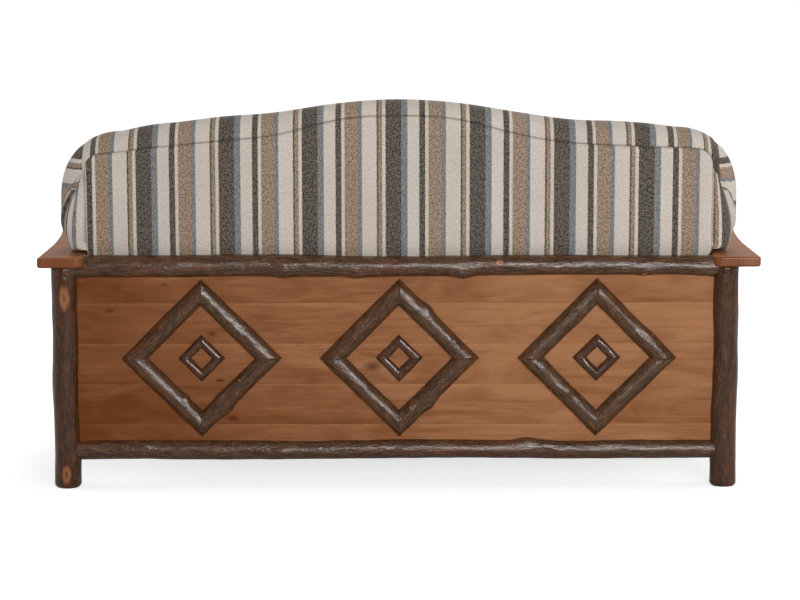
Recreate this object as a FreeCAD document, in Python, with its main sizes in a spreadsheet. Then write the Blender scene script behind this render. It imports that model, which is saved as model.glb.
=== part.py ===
import FreeCAD, Part
import math
import os
import Sketcher

# Log-framed sofa with an upholstered camel back, millimetres, +Z up.
# The back faces -Y, the sitter faces +Y, and the origin is on the floor under the middle.

V = FreeCAD.Vector
ROOT_HALF = math.sqrt(0.5)

SIZES = [
    # Arms
    ("arm_rear_span", 2030, "across both arms at the back"),
    ("arm_width", 131, "width of an arm at the back"),
    ("arm_thick", 30, "thickness of an arm board"),
    ("arm_length", 930, "front to back"),
    ("arm_flare", 55, "how far the outer edge swings out at the front"),
    ("arm_flare_start", 250, "straight stretch of the outer edge at the back"),
    ("arm_top", 662, "height of the arm's upper face"),
    ("arm_corner_rear", 11, "outer corner radius at the back"),
    ("arm_corner_inner", 26, "inner corner radius at the back"),
    ("arm_corner_front", 42, "corner radius at the front"),
    ("arm_round", 7, "round-over along the edges"),
    # Posts and rails
    ("post_dia", 74, "post diameter"),
    ("post_left_inset", 71, "left arm's outer edge to the left post axes"),
    ("post_right_inset", 92, "right arm's outer edge to the right post axes"),
    ("post_rear_inset", 47.5, "arm's back edge to the rear post axis"),
    ("post_front_inset", 80, "arm's front edge to the front post axis"),
    ("post_tenon_dia", 38, "round tenon on top of a post"),
    ("post_tenon_len", 18, "its length"),
    ("foot_chamfer", 5, "chamfer round a foot"),
    ("rail_top_dia", 60, "rear top rail"),
    ("rail_top_drop", 0, "its axis below the shoulder of the posts"),
    ("rail_low_dia", 56, "bottom rails, front and rear"),
    ("rail_low_axis", 111, "their height"),
    ("rail_seat_dia", 62, "front seat rail"),
    ("rail_seat_axis", 295, "its height"),
    ("side_rail_dia", 55, "side rails"),
    ("side_top_drop", 46, "upper side rail below the shoulder of the posts"),
    ("side_low_rise", 41, "lower side rail above the bottom rails"),
    ("tenon_dia", 28, "round tenons of the rails"),
    ("tenon_len", 30, "depth of a rail mortise"),
    ("tenon_drop", 18, "rear top rail tenon below the shoulder of the posts"),
    ("tenon_root", 10, "length of a tenon inside its log"),
    ("joint_gap", 0.3, "clearance round tenons and panels"),
    ("cope_gap", 3, "rail end to post, for the uneven bark"),
    ("log_lean", 2, "how far a log wanders off its axis"),
    # Panels
    ("panel_thick", 16, "panel boards"),
    ("groove_depth", 12, "depth of panel grooves"),
    ("board_width", 116, "face width of a rear board"),
    ("board_first", 53, "lowest rear board"),
    # Diamonds
    ("diamond_margin", 5, "rear diamond's tips to the rails"),
    ("diamond_strip", 52, "width of its half-round strips"),
    ("inner_half", 67, "half diagonal of an inner diamond"),
    ("inner_strip", 30, "width of its strips"),
    ("diamond_left_room", 385, "left rear diamond's middle to the left post axis"),
    ("diamond_right_room", 364, "right rear diamond's middle to the right post axis"),
    ("side_diamond_margin", 24, "side diamond's tips to the side rails"),
    ("side_diamond_strip", 44, "width of its strips"),
    ("side_inner_half", 56, "half diagonal of its inner diamond"),
    # Seat frame
    ("ledger_height", 40, "ledger strip under the seat frame"),
    ("ledger_width", 44, "its width"),
    ("seat_rise", 4, "seat frame's top above the front seat rail"),
    ("seat_frame_height", 90, "height of the seat frame"),
    ("seat_board", 30, "its board thickness"),
    ("seat_frame_room", 4, "seat frame to side panel"),
    ("seat_front_room", 6, "seat frame to front seat rail"),
    ("stretcher_pitch", 600, "between the seat stretchers"),
    ("strap_width", 60, "webbing"),
    ("strap_thick", 2, "its thickness"),
    ("strap_count", 9, "straps front to back"),
    ("cross_count", 4, "straps side to side"),
    ("deck_thick", 6, "felt deck over the webbing"),
    # Seat cushions
    ("cushion_room", 4, "seat cushions to arms and back"),
    ("cushion_gap", 1.5, "between neighbouring cushions"),
    ("cushion_overhang", 42, "front of the cushions past the front post axes"),
    ("cushion_height", 132, "height at the edge of the top"),
    ("cushion_crown", 26, "rise of the middle"),
    ("cushion_corner", 46, "corner radius"),
    ("cushion_draw", 7, "how far the sides draw in"),
    # Upholstered back
    ("back_over_seat", 15, "underside of the back above the seat frame"),
    ("wing_gap", 12, "underside of the wings above the arms"),
    ("wing_half", 968, "half width across the wings"),
    ("back_shoulder", 1004, "corner height of the wings"),
    ("back_step", 50, "hollow either side of the crest, above the shoulders"),
    ("back_rise", 58, "where the top slopes would meet, above the hollow"),
    ("back_haunch_at", 402, "sideways place of the hollow"),
    ("back_crest_round", 1290, "radius over the crest"),
    ("back_haunch_round", 3000, "radius in the hollow"),
    ("back_corner_round", 165, "radius of the upper corners"),
    ("back_clear", 1.5, "back to the rear top rail"),
    ("back_swell", 5, "how far the upper part stands out above the rail"),
    ("back_panel_crown", 12, "bulge of the outside back"),
    ("back_depth", 222, "back's thickness at the seat"),
    ("back_lean", 7, "lean of the front face, degrees"),
    ("seam_in", 12, "outside back's edge inside the arms"),
    ("seam_down", 47, "outside back's edge below the crest"),
    ("back_frame_thick", 36, "boards of the back frame"),
    ("back_frame_in", 32, "frame edge inside the arms"),
    ("back_frame_down", 62, "frame edge below the crest"),
    ("back_frame_corner", 80, "upper corner radius of the frame"),
    ("back_rail_step", 10, "straight edge of the sawn top rail under its corners"),
    ("back_board", 80, "width of the frame's boards"),
    ("back_stile_pitch", 590, "between the two middle stiles"),
    ("back_webs", 5, "straps across the back"),
    ("bolt_dia", 8, "bolts holding the back to the seat frame"),
    ("bolt_head", 13, "across the flats of head and nut"),
    ("bolt_hole", 8.6, "hole for a bolt"),
    ("soft_gap", 0.5, "covers to their neighbours"),
]

doc = FreeCAD.newDocument("LogSofa")
sheet = doc.addObject("Spreadsheet::Sheet", "Sizes")
for row, (alias, number, meaning) in enumerate(SIZES, 1):
    sheet.set(f"A{row}", meaning)
    sheet.set(f"B{row}", str(number))
    sheet.setAlias(f"B{row}", alias)
doc.recompute()

CELLS = {alias: "Sizes." + alias for alias, number, meaning in SIZES}
subparts = []


def ex(text):
    """Turn {name} into a reference to the named size."""
    return text.format(**CELLS)


def size(alias):
    return float(sheet.get(alias))


def bind(obj, **rules):
    """Tie properties to the sheet: size=..., or x, y, z for the placement."""
    for prop, text in rules.items():
        path = "Placement.Base." + prop if prop in ("x", "y", "z") else prop
        obj.setExpression(path, ex(text))
    return obj


def turn(obj, axis, degrees):
    obj.Placement = FreeCAD.Placement(V(0, 0, 0), FreeCAD.Rotation(V(*axis), degrees))
    return obj


def keep(obj, label):
    """Make an object a sub-part under its own label."""
    obj.Label = label
    subparts.append(obj)
    return obj


# Places that several pieces share, written with the named sizes
POST_X = {"left": "({post_left_inset} - {arm_rear_span} / 2)",
          "right": "({arm_rear_span} / 2 - {post_right_inset})"}
POST_Y = {"rear": "({post_rear_inset} - {arm_length} / 2)", "front": "({arm_length} / 2 - {post_front_inset})"}
POST_R = "({post_dia} / 2)"
POST_TOP = "({arm_top} - {arm_thick})"
POST_SPAN = "({arm_rear_span} - {post_left_inset} - {post_right_inset})"
FRAME_MID = "(({post_left_inset} - {post_right_inset}) / 2)"
ARM_IN = "({arm_rear_span} / 2 - {arm_width})"
SIDE_SPAN = "(" + POST_Y["front"] + " - " + POST_Y["rear"] + ")"
PANEL_END = "(" + POST_R + " - {groove_depth})"
RAIL_TOP = "(" + POST_TOP + " - {rail_top_drop})"
SIDE_TOP = "(" + POST_TOP + " - {side_top_drop})"
SIDE_LOW = "({rail_low_axis} + {side_low_rise})"
SIGN = {"left": 1, "right": -1, "rear": 1, "front": -1}
PANEL_Z = {
    "rear": ("({rail_low_axis} + {rail_low_dia} / 2 - {groove_depth})",
             f"({RAIL_TOP} - {{rail_top_dia}} / 2 + {{groove_depth}})"),
    "front": ("({rail_low_axis} + {rail_low_dia} / 2 - {groove_depth})",
              "({rail_seat_axis} - {rail_seat_dia} / 2 + {groove_depth})"),
    "side": (f"({SIDE_LOW} + {{side_rail_dia}} / 2 - {{groove_depth}})",
             f"({SIDE_TOP} - {{side_rail_dia}} / 2 + {{groove_depth}})"),
}


def origin_plane(body, role):
    return next(f for f in body.Origin.OriginFeatures if f.Role == role)


def log_stem(body, start, length, dia, taper, phase, rings=7):
    """A natural stem: a loft through rings that swell, taper and wander a little."""
    sketches = []
    for k in range(rings):
        share = k / (rings - 1)
        swell = 1 + taper * (0.5 - share) + 0.022 * math.sin(2.4 * k + phase)
        free = math.sin(math.pi * share)
        sk = body.newObject("Sketcher::SketchObject", f"{body.Name}_ring{k}")
        sk.AttachmentSupport = [(origin_plane(body, "XY_Plane"), "")]
        sk.MapMode = "FlatFace"
        sk.addGeometry(Part.Circle(V(0, 0, 0), V(0, 0, 1), 30), False)
        sk.addConstraint(Sketcher.Constraint("Coincident", 0, 3, -1, 1))
        radius = sk.addConstraint(Sketcher.Constraint("Radius", 0, 30))
        sk.setExpression(f"Constraints[{radius}]", ex(f"{dia} / 2 * {swell:.4f}"))
        lean_x = free * math.sin(1.7 * k + phase)
        lean_y = free * math.cos(2.3 * k + phase)
        sk.setExpression("AttachmentOffset.Base.x", ex("{log_lean} * " + f"{lean_x:.3f}"))
        sk.setExpression("AttachmentOffset.Base.y", ex("{log_lean} * " + f"{lean_y:.3f}"))
        sk.setExpression("AttachmentOffset.Base.z", ex(f"{start} + {length} * {share:.5f}"))
        sketches.append(sk)
    stem = body.newObject("PartDesign::AdditiveLoft", body.Name + "_stem")
    stem.Refine = False
    stem.Profile = sketches[0]
    stem.Sections = sketches[1:]
    return stem


def add_knots(body, dia, length, knots):
    """Stubs of cut branches: place along the log, angle round it, and size."""
    for k, (share, angle, wide) in enumerate(knots):
        knot = body.newObject("PartDesign::AdditiveEllipsoid", f"{body.Name}_knot{k}")
        knot.Refine = False
        knot.Radius1 = wide * 0.55
        knot.Radius2 = wide
        knot.Radius3 = wide * 0.6
        turn(knot, (0, 1, 0), 90)
        reach = f"({dia} / 2 - {wide * 0.3:.2f})"
        knot.Placement.Rotation = (FreeCAD.Rotation(V(0, 0, 1), angle)
                                   * FreeCAD.Rotation(V(0, 1, 0), 90))
        bind(knot, x=f"{reach} * {math.cos(math.radians(angle)):.4f}",
             y=f"{reach} * {math.sin(math.radians(angle)):.4f}",
             z=f"{length} * {share:.4f}")


def tool(body, kind, name, degrees=None, axis=(0, 1, 0)):
    feature = body.newObject("PartDesign::" + kind, f"{body.Name}_{name}")
    feature.Refine = False
    if degrees is not None:
        turn(feature, axis, degrees)
    return feature


def post(side, end, phase, knots=()):
    """One corner post with its mortises, panel grooves and top tenon."""
    body = doc.addObject("PartDesign::Body", f"post_{end}_{side}")
    keep(body, f"{end}_post_{side}")
    log_stem(body, "0", POST_TOP, "{post_dia}", 0.03, phase)
    across, along = SIGN[side], SIGN[end]
    heights = {"rear": (f"{POST_TOP} - {{tenon_drop}}", "{rail_low_axis}"),
               "front": ("{rail_seat_axis}", "{rail_low_axis}")}[end]
    bore = dict(Radius="{tenon_dia} / 2 + {joint_gap}", Height="{tenon_len} + {post_dia}")
    for k, height in enumerate(heights):
        mortise = tool(body, "SubtractiveCylinder", f"mortise_x{k}", 90 * across)
        bind(mortise, x=f"{across} * ({POST_R} - {{tenon_len}})", z=height, **bore)
    for k, height in enumerate((SIDE_TOP, SIDE_LOW)):
        mortise = tool(body, "SubtractiveCylinder", f"mortise_y{k}", -90 * along, (1, 0, 0))
        bind(mortise, y=f"{along} * ({POST_R} - {{tenon_len}})", z=height, **bore)
    slot = "{panel_thick} + 2 * {joint_gap}"
    deep = f"{PANEL_END} - {{joint_gap}}"
    low, high = PANEL_Z[end]
    groove = tool(body, "SubtractiveBox", "groove_x")
    bind(groove, Length="{post_dia}", Width=slot, Height=f"{high} - {low} + 2 * {{joint_gap}}",
         x=deep if across > 0 else f"-({deep}) - {{post_dia}}",
         y=f"-({slot}) / 2", z=f"{low} - {{joint_gap}}")
    low, high = PANEL_Z["side"]
    groove = tool(body, "SubtractiveBox", "groove_y")
    bind(groove, Length=slot, Width="{post_dia}", Height=f"{high} - {low} + 2 * {{joint_gap}}",
         x=f"-({slot}) / 2", z=f"{low} - {{joint_gap}}",
         y=deep if along > 0 else f"-({deep}) - {{post_dia}}")
    peg = tool(body, "AdditiveCylinder", "top_tenon")
    bind(peg, Radius="{post_tenon_dia} / 2", Height="{post_tenon_len} + {joint_gap}",
         z=f"{POST_TOP} - {{joint_gap}}")
    doc.recompute()
    foot = next(i for i, edge in enumerate(peg.Shape.Edges, 1) if edge.BoundBox.ZMax < 0.01)
    chamfer = body.newObject("PartDesign::Chamfer", body.Name + "_foot")
    chamfer.Refine = False
    chamfer.Base = (peg, [f"Edge{foot}"])
    chamfer.setExpression("Size", ex("{foot_chamfer}"))
    add_knots(body, "{post_dia}", POST_TOP, knots)
    bind(body, x=POST_X[side], y=POST_Y[end])
    return body


def rail(label, along, span, dia, taper, phase, groove=None, drop="0", knots=(), notches=()):
    """A log between two posts: coped ends, round tenons, a panel groove below or above.

    The log runs along its own Z from post axis to post axis. For a log across the sofa
    its own X points down, for one from back to front its own Y does.
    """
    body = doc.addObject("PartDesign::Body", label)
    keep(body, label)
    buried = "{post_dia} / 6"
    log_stem(body, buried, f"({span} - 2 * {buried})", dia, taper, phase, 9 if along == "X" else 6)
    upright = (0, 1, 0) if along == "X" else (1, 0, 0)
    down = "x" if along == "X" else "y"
    level = "y" if along == "X" else "x"
    for k, place in enumerate(("0", span)):
        cope = tool(body, "SubtractiveCylinder", f"cope{k}", 90, upright)
        bind(cope, Radius=f"{POST_R} + {{cope_gap}}", Height=f"4 * {dia}", z=place,
             **{down: f"-2 * {dia}" if along == "X" else f"2 * {dia}"})
    slot = "{panel_thick} + 2 * {joint_gap}"
    if groove:
        cut = tool(body, "SubtractiveBox", "groove")
        edge = f"({dia} / 2 - {{groove_depth}} - {{joint_gap}})"
        first = edge if groove == "below" else f"-{edge} - {dia}"
        thick = {"x": "Length", "y": "Width"}
        bind(cut, Height=span, **{thick[down]: dia, thick[level]: slot,
                                  down: first, level: f"-({slot}) / 2"})
    for k, (start, reach, under) in enumerate(notches):
        cut = tool(body, "SubtractiveBox", f"notch{k}")
        bind(cut, Length=dia, Width=f"2 * {dia}", Height=reach, x=f"-({under}) - {dia}",
             y=f"-{dia}", z=start)
    for k, place in enumerate((f"{POST_R} - {{tenon_len}} + {{joint_gap}}",
                               f"{span} - {POST_R} - {{tenon_root}}")):
        peg = tool(body, "AdditiveCylinder", f"tenon{k}")
        bind(peg, Radius="{tenon_dia} / 2", z=place, **{down: drop},
             Height="{tenon_len} - {joint_gap} + {tenon_root}")
    add_knots(body, dia, span, knots)
    body.Placement.Rotation = FreeCAD.Rotation(V(0, 1, 0), 90) if along == "X" else \
        FreeCAD.Rotation(V(1, 0, 0), -90)
    return body


def build_frame():
    post("left", "rear", 0.3, [(0.86, -90, 9), (0.07, -80, 8)])
    post("right", "rear", 2.1, [(0.17, -110, 9)])
    post("left", "front", 4.0, [(0.35, 60, 13)])
    post("right", "front", 5.2, [(0.7, 120, 12)])
    arm_under = "{rail_top_drop} - {joint_gap}"
    left_room = f"(-{ARM_IN} - {POST_X['left']} + {{joint_gap}})"
    right_room = f"({POST_X['right']} - {ARM_IN} + {{joint_gap}})"
    top = rail("rear_top_rail", "X", POST_SPAN, "{rail_top_dia}", 0.17, 1.0, "below",
               "({tenon_drop} - {rail_top_drop})", [(0.35, -45, 12), (0.44, -42, 13), (0.56, -45, 12)],
               [("0", left_room, arm_under), (f"{POST_SPAN} - {right_room}", right_room, arm_under)])
    bind(top, x=POST_X["left"], y=POST_Y["rear"], z=RAIL_TOP)
    low = rail("rear_bottom_rail", "X", POST_SPAN, "{rail_low_dia}", 0.1, 3.4, "above",
               knots=[(0.7, 228, 16), (0.43, -80, 11)])
    bind(low, x=POST_X["left"], y=POST_Y["rear"], z="{rail_low_axis}")
    seat = rail("front_seat_rail", "X", POST_SPAN, "{rail_seat_dia}", -0.08, 5.0, "below",
                knots=[(0.28, 70, 14), (0.66, 110, 12)])
    bind(seat, x=POST_X["left"], y=POST_Y["front"], z="{rail_seat_axis}")
    low = rail("front_bottom_rail", "X", POST_SPAN, "{rail_low_dia}", 0.08, 0.7, "above",
               knots=[(0.55, 80, 13)])
    bind(low, x=POST_X["left"], y=POST_Y["front"], z="{rail_low_axis}")
    for side, phase in (("left", 1.9), ("right", 4.4)):
        for name, axis, groove, step in (("top", SIDE_TOP, "below", 0.0),
                                         ("bottom", SIDE_LOW, "above", 1.3)):
            log = rail(f"side_{name}_rail_{side}", "Y", SIDE_SPAN, "{side_rail_dia}", 0.06,
                       phase + step, groove, knots=[(0.4, 180 if side == "left" else 0, 10)])
            bind(log, x=POST_X[side], y=POST_Y["rear"], z=axis)


def box(name, length, width, height, x, y, z):
    block = doc.addObject("Part::Box", name)
    return bind(block, Length=length, Width=width, Height=height, x=x, y=y, z=z)


def cut(base, cutter, name):
    result = doc.addObject("Part::Cut", name)
    result.Base = base
    result.Tool = cutter
    return result


def compound(name, pieces):
    group = doc.addObject("Part::Compound", name)
    group.Links = pieces
    return group


def build_panels():
    """Boards edge to edge in the grooves of the posts and rails."""
    low, high = PANEL_Z["rear"]
    length = f"{POST_SPAN} - 2 * {PANEL_END}"
    start = f"{POST_X['left']} + {PANEL_END}"
    front = f"{POST_Y['rear']} - {{panel_thick}} / 2"
    edges = [low] + [f"({low} + {{board_first}} + {k} * {{board_width}})" for k in range(4)] + [high]
    for k in range(5):
        board = box(f"rear_board_{k + 1}", length, "{panel_thick}", f"{edges[k + 1]} - {edges[k]}",
                    start, front, edges[k])
        if k == 4:
            clear = f"({POST_TOP} - {{tenon_drop}} - {{tenon_dia}} / 2 - {{joint_gap}})"
            reach = "{groove_depth} + {tenon_root} + {joint_gap}"
            for side, corner in (("left", start), ("right", f"{start} + {length} - ({reach})")):
                notch = box(f"rear_notch_{side}", reach,
                            "2 * {panel_thick}", "{tenon_dia}", corner,
                            f"{front} - {{panel_thick}} / 2", clear)
                board = cut(board, notch, f"rear_board_top_{side}")
        keep(board, f"rear_panel_board_{k + 1}")
    low, high = PANEL_Z["side"]
    for side in ("left", "right"):
        boards = []
        for k in range(4):
            boards.append(box(f"side_board_{side}_{k}", "{panel_thick}",
                              f"{SIDE_SPAN} - 2 * {PANEL_END}", f"({high} - {low}) / 4",
                              f"{POST_X[side]} - {{panel_thick}} / 2",
                              f"{POST_Y['rear']} + {PANEL_END}", f"{low} + {k} * ({high} - {low}) / 4"))
        keep(compound(f"side_boards_{side}", boards), f"side_panel_{side}")
    low, high = PANEL_Z["front"]
    boards = []
    for k in range(2):
        boards.append(box(f"front_board_{k}", length, "{panel_thick}", f"({high} - {low}) / 2", start,
                          f"{POST_Y['front']} - {{panel_thick}} / 2", f"{low} + {k} * ({high} - {low}) / 2"))
    keep(compound("front_boards", boards), "front_panel")


def half_round(name, half, wide, place, outward, facing, slim, knot=None):
    """One mitred half-round strip of a diamond.

    Its own Z runs along the strip, its own X points out of the diamond and its own Y
    stands off the panel.
    """
    side_len = f"({half} * {2 * ROOT_HALF:.6f})"
    stem = doc.addObject("Part::Cone", name + "_stem")
    bind(stem, Radius1=f"{wide} / 2", Radius2=f"{wide} / 2 * {slim:.3f}", Height=side_len)
    stem.Angle = 180
    solid = stem
    if knot:
        share, angle, radius = knot
        stub = doc.addObject("Part::Ellipsoid", name + "_knot")
        stub.Radius1 = radius * 0.8
        stub.Radius2 = radius
        stub.Radius3 = radius * 0.8
        reach = f"({wide} / 2 - {radius * 0.25:.2f})"
        stub.Placement.Rotation = FreeCAD.Rotation(V(0, 0, 1), angle)
        bind(stub, x=f"{reach} * {math.cos(math.radians(angle)):.4f}",
             y=f"{reach} * {math.sin(math.radians(angle)):.4f}", z=f"{side_len} * {share:.3f}")
        solid = doc.addObject("Part::MultiFuse", name + "_knotted")
        solid.Shapes = [stem, stub]
    mitre = doc.addObject("Part::Wedge", name + "_mitre")
    mitre.Placement.Rotation = FreeCAD.Rotation(V(0, 0, 1), -90)
    lean = "({0} / 2)".format(wide)
    for prop, text in (("Xmin", f"-{wide}"), ("X2min", f"-{wide}"), ("Xmax", "0"), ("X2max", "0"),
                       ("Ymin", f"-{lean}"), ("Ymax", f"{wide}"),
                       ("Zmin", wide), ("Zmax", f"{side_len} - {wide}"),
                       ("Z2min", f"-{lean}"), ("Z2max", f"{side_len} + {lean}")):
        mitre.setExpression(prop, ex(text))
    strip = doc.addObject("Part::Common", name)
    strip.Base = solid
    strip.Tool = mitre
    run = outward.cross(facing)
    strip.Placement.Rotation = FreeCAD.Rotation(outward, facing, run, "ZXY")
    arm = f"({half} * {ROOT_HALF:.6f})"
    for axis, base in zip("xyz", place):
        out, along = getattr(outward, axis), getattr(run, axis)
        bind(strip, **{axis: f"{base} + {arm} * {out - along:.6f} - {wide} / 2 * {out:.6f}"})
    return strip


def diamond(label, half, wide, place, facing, phase, knots=None):
    """Four mitred strips round a square standing on its corner."""
    level = V(0, 0, 1).cross(facing)
    strips = []
    for k in range(4):
        angle = math.radians(45 + 90 * k)
        outward = level * math.cos(angle) + V(0, 0, 1) * math.sin(angle)
        slim = 0.97 + 0.03 * math.sin(2.1 * k + phase)
        strips.append(half_round(f"{label}_strip{k}", half, wide, place, outward, facing, slim,
                                 (knots or {}).get(k)))
    return keep(compound(label + "_strips", strips), label)


def build_diamonds():
    wall = f"{POST_Y['rear']} - {{panel_thick}} / 2"
    rear = V(0, -1, 0)
    low, high = PANEL_Z["rear"]
    half = f"(({high} - {low}) / 2 - {{groove_depth}} - {{diamond_margin}})"
    knots = {"left": {2: (0.45, 150, 13)}, "centre": {0: (0.45, 20, 13), 3: (0.6, 25, 13)},
             "right": {1: (0.5, 30, 11)}}
    first = f"({POST_X['left']} + {{diamond_left_room}})"
    last = f"({POST_X['right']} - {{diamond_right_room}})"
    for k, name in enumerate(("left", "centre", "right")):
        place = (f"({first} * {2 - k} + {last} * {k}) / 2", wall, f"({low} + {high}) / 2")
        diamond(f"rear_diamond_{name}", half, "{diamond_strip}", place, rear, k, knots[name])
        diamond(f"rear_inner_diamond_{name}", "{inner_half}", "{inner_strip}", place, rear, k + 0.5)
    middle = f"({POST_Y['front']} + {POST_Y['rear']}) / 2"
    low, high = PANEL_Z["side"]
    half = f"(({high} - {low}) / 2 - {{groove_depth}} - {{side_diamond_margin}})"
    for side in ("left", "right"):
        out = -SIGN[side]
        place = (f"{POST_X[side]} + {out} * {{panel_thick}} / 2", middle, f"({low} + {high}) / 2")
        diamond(f"side_diamond_{side}", half, "{side_diamond_strip}", place,
                V(out, 0, 0), out + 2)
        diamond(f"side_inner_diamond_{side}", "{side_inner_half}", "{inner_strip}", place,
                V(out, 0, 0), out + 3)


def arm(side):
    """A paddle-shaped arm board with blind mortises for the post tenons."""
    body = doc.addObject("PartDesign::Body", "arm_" + side)
    keep(body, "arm_" + side)
    out = -SIGN[side]
    inner, outer = size("arm_rear_span") / 2 - size("arm_width"), size("arm_rear_span") / 2
    rear, front = -size("arm_length") / 2, size("arm_length") / 2
    bend = rear + size("arm_flare_start")
    wide = outer + size("arm_flare")
    sk = body.newObject("Sketcher::SketchObject", f"arm_{side}_outline")
    sk.AttachmentSupport = [(origin_plane(body, "XY_Plane"), "")]
    sk.MapMode = "FlatFace"
    corners = [V(out * x, y, 0) for x, y in ((inner, rear), (outer, rear), (outer, bend),
                                             (wide, front), (inner, front))]
    swing = ((wide - outer) ** 2 + (front - bend) ** 2) / (2 * (wide - outer))
    middle = V(out * (outer + swing), bend, 0)
    half_turn = math.asin((front - bend) / swing) / 2
    through = middle + V(-out * swing * math.cos(half_turn), swing * math.sin(half_turn), 0)
    sk.addGeometry(Part.LineSegment(corners[0], corners[1]), False)
    sk.addGeometry(Part.LineSegment(corners[1], corners[2]), False)
    sk.addGeometry(Part.Arc(corners[2], through, corners[3]), False)
    sk.addGeometry(Part.LineSegment(corners[3], corners[4]), False)
    sk.addGeometry(Part.LineSegment(corners[4], corners[0]), False)
    # An arc is kept anticlockwise, so its ends swap on one side.
    first, last = (2, 1) if out > 0 else (1, 2)
    rule = Sketcher.Constraint
    sk.addConstraint([rule("Coincident", 0, 2, 1, 1), rule("Tangent", 1, 2, 2, first),
                      rule("Coincident", 2, last, 3, 1), rule("Coincident", 3, 2, 4, 1),
                      rule("Coincident", 4, 2, 0, 1), rule("Horizontal", 0), rule("Vertical", 1),
                      rule("Horizontal", 3), rule("Vertical", 4)])

    def span(kind, a, b, text):
        ends = (*a, *b) if kind == "DistanceY" or out > 0 else (*b, *a)
        index = sk.addConstraint(rule(kind, *ends, abs(value_of(text))))
        sk.setExpression(f"Constraints[{index}]", ex(text))

    span("DistanceX", (-1, 1), (0, 1), ARM_IN)
    span("DistanceX", (0, 1), (0, 2), "{arm_width}")
    span("DistanceX", (3, 2), (3, 1), "{arm_width} + {arm_flare}")
    span("DistanceY", (0, 1), (-1, 1), "{arm_length} / 2")
    span("DistanceY", (4, 2), (4, 1), "{arm_length}")
    span("DistanceY", (1, 1), (1, 2), "{arm_flare_start}")
    board = body.newObject("PartDesign::Pad", f"arm_{side}_board")
    board.Profile = sk
    board.setExpression("Length", ex("{arm_thick}"))
    doc.recompute()
    last_feature = board
    rounds = [("inner", inner, rear, "{arm_corner_inner}"), ("outer", outer, rear, "{arm_corner_rear}"),
              ("inner_front", inner, front, "{arm_corner_front}"),
              ("outer_front", wide, front, "{arm_corner_front}")]
    for name, across, place, radius in rounds:
        edges = [f"Edge{i}" for i, e in enumerate(last_feature.Shape.Edges, 1) if e.BoundBox.ZLength > 1
                 and e.CenterOfMass.isEqual(V(out * across, place, e.CenterOfMass.z), 0.01)]
        corner = body.newObject("PartDesign::Fillet", f"arm_{side}_corner_{name}")
        corner.Base = (last_feature, edges)
        corner.setExpression("Radius", ex(radius))
        doc.recompute()
        last_feature = corner
    edges = [f"Edge{i}" for i, e in enumerate(last_feature.Shape.Edges, 1) if e.BoundBox.ZLength < 0.01]
    soft = body.newObject("PartDesign::Fillet", f"arm_{side}_round")
    soft.Base = (last_feature, edges)
    soft.setExpression("Radius", ex("{arm_round}"))
    for end in ("rear", "front"):
        mortise = tool(body, "SubtractiveCylinder", "mortise_" + end)
        bind(mortise, Radius="{post_tenon_dia} / 2 + {joint_gap}", Height="2 * {post_tenon_len} + {joint_gap}",
             x=POST_X[side], y=POST_Y[end], z="-{post_tenon_len}")
    bind(body, z=POST_TOP)


def value_of(text):
    """The present value of a formula over the named sizes."""
    return float(sheet.evalExpression(ex(text)))


SEAT_HALF = "(" + POST_SPAN + " / 2 - {panel_thick} / 2 - {seat_frame_room})"
SEAT_LEFT = "(" + FRAME_MID + " - " + SEAT_HALF + ")"
SEAT_FRONT = "(" + POST_Y["front"] + " - {rail_seat_dia} / 2 - {seat_front_room})"
SEAT_TOP = "({rail_seat_axis} + {rail_seat_dia} / 2 + {seat_rise})"
SEAT_LOW = "(" + SEAT_TOP + " - {seat_frame_height})"
DECK_LOW = "(" + SEAT_TOP + " + 2 * {strap_thick})"
CUSHION_LOW = "(" + DECK_LOW + " + {deck_thick} + {soft_gap})"
# The rear top rail swells by up to a ninth towards its thick end
BACK_REAR = "(" + POST_Y["rear"] + " + {rail_top_dia} / 1.8 + {log_lean} + {back_clear})"
BACK_FRONT = "(" + BACK_REAR + " + {back_depth})"
BACK_FRAME_FRONT = "(" + BACK_REAR + " + {back_frame_thick})"
BACK_LOW = "(" + SEAT_TOP + " + {back_over_seat})"
BACK_RAIL_LOW = "({back_shoulder} - {back_frame_down} - {back_frame_corner} - {back_rail_step})"
WING_LOW = "({arm_top} + {wing_gap})"
STILE_OUT = "(" + ARM_IN + " - {back_frame_in})"


def hole(base, name, x, y, z, depth):
    """A bolt hole from front to back."""
    drill = doc.addObject("Part::Cylinder", name + "_drill")
    turn(drill, (1, 0, 0), -90)
    bind(drill, Radius="{bolt_hole} / 2", Height=depth, x=x, y=y, z=z)
    return cut(base, drill, name)


def bolt_places():
    """Sideways place and height of each bolt."""
    places = []
    for name, sign in (("left", -1), ("right", 1)):
        for k, share in enumerate((0.3, 0.7)):
            places.append((f"{name}{k}", sign, f"{sign} * ({STILE_OUT} - {{back_board}} / 2)",
                           f"{SEAT_LOW} + {share} * {{seat_frame_height}}"))
    return places


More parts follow.
